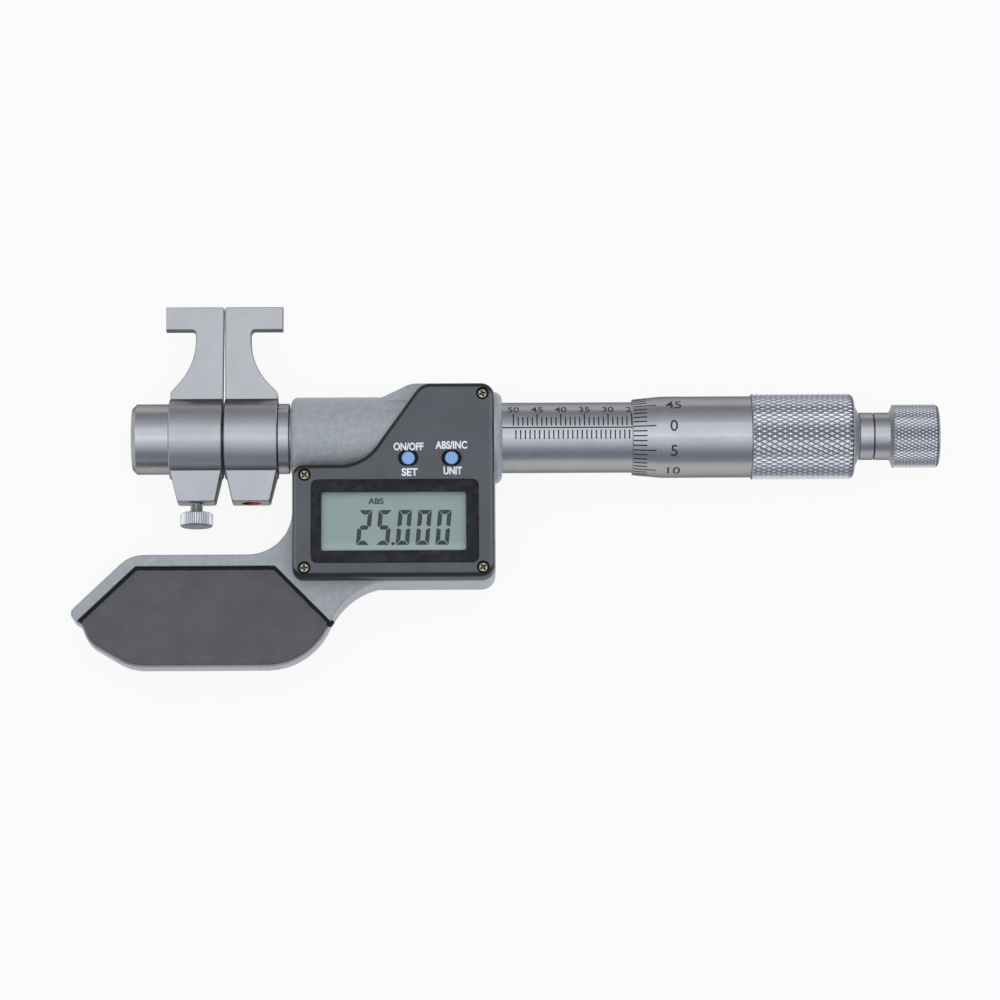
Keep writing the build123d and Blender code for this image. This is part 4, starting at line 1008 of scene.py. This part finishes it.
def rounded_corners(left, right, bottom, top, radius, steps):
    """Points round a rectangle with rounded corners, the same number at each corner."""
    points = []
    corners = (
        (right - radius, top - radius, 0),
        (left + radius, top - radius, 90),
        (left + radius, bottom + radius, 180),
        (right - radius, bottom + radius, 270),
    )
    for middle_x, middle_y, start in corners:
        for step in range(steps + 1):
            angle = math.radians(start + 90 * step / steps)
            points.append((middle_x + radius * math.cos(angle), middle_y + radius * math.sin(angle)))
    return points


def display_border():
    """Dark print round the display, on the back of the window."""
    low, high = limits("display_window")
    inset = Vector((BORDER_INSET, BORDER_INSET, 0))
    (left, bottom, back), (right, top, _) = low + inset, high - inset
    outer = rounded_corners(left, right, bottom, top, BORDER_CORNER, CORNER_STEPS)
    inner = rounded_corners(VIEW_LEFT, VIEW_RIGHT, VIEW_BOTTOM, VIEW_TOP, VIEW_CORNER, CORNER_STEPS)
    vertices = [at(x, y, back + SKIN) for x, y in outer + inner]
    add_piece("display_border", vertices, ring_faces(0, len(outer)), "border", "frame")


DIGIT_HEIGHT = 7.45
DIGIT_WIDTH = 2.85
DIGIT_PITCH = 4.17
DIGIT_BOTTOM = -24.3
LAST_DIGIT_X = -12.05
SEGMENT = 0.92
SEGMENT_GAP = 0.1
MIDDLE_GAP = 0.24
SLANT = math.tan(math.radians(5.4))
READING = "25000"
LIT = {"0": "abcdef", "2": "abged", "5": "afgcd"}
POINT_BOX = (-23.02, -22.33, -24.35, -23.66)
POINT_CORNER = 0.14
MODE_WORD = ("ABS", -27.9, -24.6, -15.6, -14.3)
MODE_WEIGHT = 0.03


def segment_outlines():
    """Outlines of the seven strokes of a digit, mitred at its corners, from its lower left."""
    wide, high, middle = DIGIT_WIDTH, DIGIT_HEIGHT, DIGIT_HEIGHT / 2
    gap, thick, half = SEGMENT_GAP, SEGMENT, SEGMENT / 2
    top = [(gap, high), (wide - gap, high), (wide - thick - gap, high - thick), (thick + gap, high - thick)]
    right = [
        (wide, high - gap), (wide, middle + MIDDLE_GAP), (wide - half, middle + MIDDLE_GAP),
        (wide - thick, middle + half + gap), (wide - thick, high - thick - gap),
    ]
    tip, flat = half - 0.02, thick - 0.08
    bar = [
        (tip, middle), (flat, middle + half), (wide - flat, middle + half),
        (wide - tip, middle), (wide - flat, middle - half), (flat, middle - half),
    ]

    def sideways(points):
        return [(wide - x, y) for x, y in points]

    def upside_down(points):
        return [(x, high - y) for x, y in points]

    return {
        "a": top, "b": right, "c": upside_down(right), "d": upside_down(top),
        "e": sideways(upside_down(right)), "f": sideways(right), "g": bar,
    }


def lcd_digits():
    """The reading 25.000 in slanted strokes, and the small word for the absolute mode."""
    face = limits("lcd_panel")[1].z + SKIN
    sheet = Sheet()
    strokes = segment_outlines()

    def add_flat(outline):
        sheet.add([at(x, y, face) for x, y in outline], [tuple(range(len(outline)))])

    for place, digit in enumerate(READING, 1 - len(READING)):
        left = LAST_DIGIT_X + DIGIT_PITCH * place - DIGIT_WIDTH / 2 - DIGIT_HEIGHT / 2 * SLANT
        for name in LIT[digit]:
            add_flat([(left + x + y * SLANT, DIGIT_BOTTOM + y) for x, y in strokes[name]])
    add_flat(rounded_corners(*POINT_BOX, POINT_CORNER, 3))
    flat_words(sheet, *MODE_WORD, face, MODE_WEIGHT)
    add_piece("lcd_digits", sheet.vertices, sheet.faces, "segment", "frame")


SCREW_PLACES = ((-3.75, 7.75), (-41.25, -9.55), (-41.25, -29.35), (-3.75, -29.35))
SCREW_TURNS = (20, 50, 5, 34)
SCREW_PROFILE = ((0.72, 0.0), (0.84, 0.02), (0.95, 0.08), (1.04, 0.18), (1.1, 0.36), (1.1, 0.8))
SCREW_COLUMNS = 48
CROSS_ARM = 0.76
CROSS_WIDTH = 0.44
CROSS_DEPTH = 0.5
CROSS_TAPER = (0.55, 0.6)


def cross_outline(arm, width):
    """Twelve corners of a cross."""
    half = width / 2
    corners = []
    for turn in range(4):
        for x, y in ((arm, -half), (arm, half), (half, half)):
            for _ in range(turn):
                x, y = -y, x
            corners.append((x, y))
    return corners


def screw_head():
    """Points (x, y, drop) and faces of one pan head, and how many faces come before its recess."""
    angles = [FULL_TURN * column / SCREW_COLUMNS for column in range(SCREW_COLUMNS)]
    points = [
        (radius * math.cos(angle), radius * math.sin(angle), drop)
        for radius, drop in SCREW_PROFILE
        for angle in angles
    ]
    faces = []
    for row in range(len(SCREW_PROFILE) - 1):
        for column in range(SCREW_COLUMNS):
            a = row * SCREW_COLUMNS + column
            b = row * SCREW_COLUMNS + (column + 1) % SCREW_COLUMNS
            faces.append((a, a + SCREW_COLUMNS, b + SCREW_COLUMNS, b))
    upper = cross_outline(CROSS_ARM, CROSS_WIDTH)
    lower = cross_outline(CROSS_ARM * CROSS_TAPER[0], CROSS_WIDTH * CROSS_TAPER[1])
    rim = [Vector((x, y, 0)) for x, y, _ in points[:SCREW_COLUMNS]]
    cross = [Vector((x, y, 0)) for x, y in upper]
    start, count = len(points), len(upper)
    order = list(range(SCREW_COLUMNS)) + list(range(start, start + count))
    faces += [tuple(order[corner] for corner in face) for face in tessellate_polygon([rim, cross])]
    before = len(faces)
    points += [(x, y, 0) for x, y in upper] + [(x, y, CROSS_DEPTH) for x, y in lower]
    faces += ring_faces(start, count)
    faces.append(tuple(range(start + count, start + 2 * count)))
    return points, faces, before


def cover_screws():
    """Pan heads with a tapered cross recess, each turned as it was driven home; the recess takes dark steel as
    painted shade.
    """
    top = limits("cover_screws")[1].z
    points, faces, before = screw_head()
    sheet = Sheet()
    recess = []
    for (middle_x, middle_y), degrees in zip(SCREW_PLACES, SCREW_TURNS):
        along, aside = math.cos(math.radians(degrees)), math.sin(math.radians(degrees))
        recess += range(len(sheet.faces) + before, len(sheet.faces) + len(faces))
        turned = [(x * along - y * aside, x * aside + y * along, drop) for x, y, drop in points]
        sheet.add([at(middle_x + x, middle_y + y, top - drop) for x, y, drop in turned], faces)
    # Dark steel in the cross recess is painted shade.
    add_piece(
        "cover_screw_heads", sheet.vertices, sheet.faces, "nickel", "frame", ["cover_screws"],
        flat=recess, second="dark_steel",
    )


# Screws of the jaws

CLAMP_THREAD_RADIUS = 1.38
CLAMP_THREAD_PITCH = 0.5
CLAMP_THREAD_DEPTH = 0.2
CLAMP_THREAD_COLUMNS = 36
CLAMP_THREAD_ROWS = 8
CLAMP_TIP_RADIUS = 1.1
CLAMP_HEAD_HEIGHT = 2.9
CLAMP_RIBS = 44
CLAMP_RIB_CELLS = 6
CLAMP_RIB_STEEPNESS = 1.6
AXIS_RADIUS = 0.001
# Places from the head's top as (height, radius, share of the ribs' depth)
CLAMP_HEAD_PROFILE = (
    (0.0, AXIS_RADIUS, 0.0), (0.0, 1.6, 0.0), (0.0, 3.1, 0.0), (-0.12, 3.35, 0.5), (-0.3, 3.5, 1.0),
    (-1.4, 3.5, 1.0), (-2.3, 3.5, 1.0), (-2.62, 3.5, 1.0), (-2.9, 3.1, 0.2), (-2.9, 2.75, 0.0),
    (-2.6, 2.2, 0.0), (-2.55, 1.0, 0.0), (-2.55, AXIS_RADIUS, 0.0),
)


def clamp_place(y, radius, angle):
    """Point about the clamp screw's axis."""
    return at(CLAMP_X + radius * math.sin(angle), y, radius * math.cos(angle))


def clamp_thread():
    """Dark threaded shank."""
    columns = CLAMP_THREAD_COLUMNS
    foot = clamp_low.y + CLAMP_HEAD_HEIGHT + 0.05
    tip = clamp_high.y
    rows = plain_rows([(foot, AXIS_RADIUS), (foot, CLAMP_TIP_RADIUS)], columns)
    y = foot + 0.05
    while y <= tip - 0.1:
        radii = []
        for column in range(columns):
            turn = (y / CLAMP_THREAD_PITCH + column / columns) % 1.0
            radii.append(CLAMP_THREAD_RADIUS - CLAMP_THREAD_DEPTH * (1 - abs(2 * turn - 1)))
        rows.append((y, radii, None))
        y += CLAMP_THREAD_PITCH / CLAMP_THREAD_ROWS
    rows += plain_rows([(tip, CLAMP_TIP_RADIUS), (tip, AXIS_RADIUS)], columns)
    vertices, faces, _ = turned_mesh(rows, clamp_place, closed=False)
    add_piece("clamp_screw_thread", vertices, faces, "shank", "clamp_screw_body", sharp=50)


def clamp_head():
    """Chrome thumb head with straight ribs and a dish."""
    columns = CLAMP_RIBS * CLAMP_RIB_CELLS
    head_top = clamp_low.y + CLAMP_HEAD_HEIGHT
    rows = []
    for drop, radius, share in CLAMP_HEAD_PROFILE:
        radii = []
        for column in range(columns):
            phase = (column % CLAMP_RIB_CELLS) / CLAMP_RIB_CELLS
            groove = max(0.0, 1 - abs(2 * phase - 1) * CLAMP_RIB_STEEPNESS)
            radii.append(radius - CLAMP_RIB_DEPTH * share * groove)
        rows.append((head_top + drop, radii, None))
    vertices, faces, _ = turned_mesh(rows, clamp_place, closed=False)
    add_piece(
        "clamp_screw_head", vertices, faces, "ribs", "clamp_screw_body", ["clamp_screw"],
        sharp=28,
    )


LACQUER_RINGS = 5
LACQUER_STEPS = 20
LACQUER_START = -100
LACQUER_SWEEP = 186
LACQUER_ASIDE = 0.1
LACQUER_SPILL = 0.14
LACQUER_DISH = 0.13
DROP_X = -47.75
DROP_ANGLE = math.radians(-57.5)
DROP_STEPS = 16
RING_OUTSIDE = 8.6


def lacquer_fill(sheet):
    """Lacquer that fills the right half of the set screw's hole."""
    low, high = limits("key_screw")
    bore = (high.x - low.x) / 2
    left = (low.x + high.x) / 2 + LACQUER_ASIDE
    mouth = limits("fixed_jaw")[0].y
    points = []
    for ring in range(LACQUER_RINGS + 1):
        share = ring / LACQUER_RINGS
        for step in range(LACQUER_STEPS + 1):
            angle = math.radians(LACQUER_START + LACQUER_SWEEP * step / LACQUER_STEPS)
            radius = (bore + LACQUER_SPILL + 0.1 * math.sin(3 * angle)) * share
            drop = LACQUER_DISH * (1 - share ** 3) - 0.02
            points.append(at(left + radius * math.cos(angle), mouth - drop, radius * math.sin(angle)))
    sheet.add(points, strip_faces(LACQUER_RINGS + 1, LACQUER_STEPS + 1))
    corners = ((mouth - 0.1, -bore), (mouth - 0.1, bore), (low.y - 0.03, bore), (low.y - 0.03, -bore))
    sheet.add([at(left, y, z) for y, z in corners], [(0, 1, 2, 3)])


def lacquer_drop(sheet):
    """Drop of lacquer on the ring of the fixed jaw."""
    points = [around(DROP_X, RING_OUTSIDE + 0.07, DROP_ANGLE)]
    for step in range(DROP_STEPS):
        turn = FULL_TURN * step / DROP_STEPS
        reach = 0.5 + 0.16 * math.sin(3 * turn + 1)
        angle = DROP_ANGLE + 0.34 * reach * math.sin(turn) / RING_OUTSIDE
        points.append(around(DROP_X + reach * math.cos(turn), RING_OUTSIDE - 0.01, angle))
    sheet.add(points, [(0, 1 + n, 1 + (n + 1) % DROP_STEPS) for n in range(DROP_STEPS)])


def red_lacquer():
    """Locking lacquer in the set screw's hole and on the ring beside it."""
    sheet = Sheet()
    lacquer_fill(sheet)
    lacquer_drop(sheet)
    add_piece("screw_lacquer", sheet.vertices, sheet.faces, "lacquer", "frame")


# Beads at the grip pads: squeezed-out adhesive and painted shade in the groove

BEAD_PATH = ((-88.74, -39.62), (-76.86, -28.36), (-47.75, -28.36), (-35.5, -40.6))
BEAD_STEP = 0.35
BEAD_PROFILE = ((-1.0, -0.9), (-1.0, 0.0), (-0.6, 0.17), (0.0, 0.24), (0.6, 0.15), (1.0, -0.05))
BEAD_WIDTH = 0.44
BEAD_HEIGHT = 0.7
BEAD_WAVE = 0.02
BACK_BEAD_SHORTER = 6


def bead_places():
    """Points along the bead as (distance, x, y, sideways x, sideways y)."""
    places = []
    distance = 0.0
    for (x0, y0), (x1, y1) in zip(BEAD_PATH, BEAD_PATH[1:]):
        length = math.hypot(x1 - x0, y1 - y0)
        along_x, along_y = (x1 - x0) / length, (y1 - y0) / length
        count = round(length / BEAD_STEP)
        for step in range(count + 1):
            here = length * step / count
            places.append((distance + here, x0 + along_x * here, y0 + along_y * here, along_y, -along_x))
        distance += length
    return places


def bead_width(distance, lumps):
    """Half width of the bead, uneven as squeezed out, with lumps given as (place, reach, width)."""
    width = BEAD_WIDTH + BEAD_WAVE * (math.sin(1.7 * distance) + math.sin(4.1 * distance + 1))
    return width + sum(extra * math.exp(-((distance - place) / reach) ** 2) for place, reach, extra in lumps)


def add_bead(name, face, side, places, *blobs):
    """Bead that stands out from a pad's face along its places."""
    sheet = Sheet()
    lumps = [(28, 1.4, 0.1), (places[-1][0] - 6, 1.1, 0.14), *blobs]
    for distance, x, y, aside_x, aside_y in places:
        width = bead_width(distance, lumps)
        rise = side * (BEAD_HEIGHT + width / 2)
        sheet.vertices += [
            at(x - across * width * aside_x, y - across * width * aside_y, face + up * rise)
            for across, up in BEAD_PROFILE
        ]
    wide = len(BEAD_PROFILE)
    ends = [tuple(range(wide)), tuple(range(len(sheet.vertices) - wide, len(sheet.vertices)))]
    sheet.faces = strip_faces(len(places), wide) + ends
    add_piece(name, sheet.vertices, sheet.faces, "black_rubber", "frame")


def pad_beads():
    """Black beads between each grip pad and the rim, for squeezed-out adhesive and painted shade in the
    groove; the front one ends in a blob of painted shade.
    """
    places = bead_places()
    # The blob at the front bead's end is painted shade at the groove's end.
    blob = (places[-1][0] - 0.6, 0.5, 0.42)
    add_bead("front_bead_and_shade", limits("front_pad")[1].z, 1, places, blob)
    add_bead("back_bead_and_shade", limits("back_pad")[0].z, -1, places[:-BACK_BEAD_SHORTER])


add_camera()
add_world()
add_lamp()
add_floor()
finish_nodes()
thimble_shell()
knob_shell()
sleeve_scale()
thimble_scale()
cover_labels()
display_border()
lcd_digits()
cover_screws()
clamp_thread()
clamp_head()
red_lacquer()
pad_beads()

bpy.context.scene.view_settings.view_transform = "Standard"
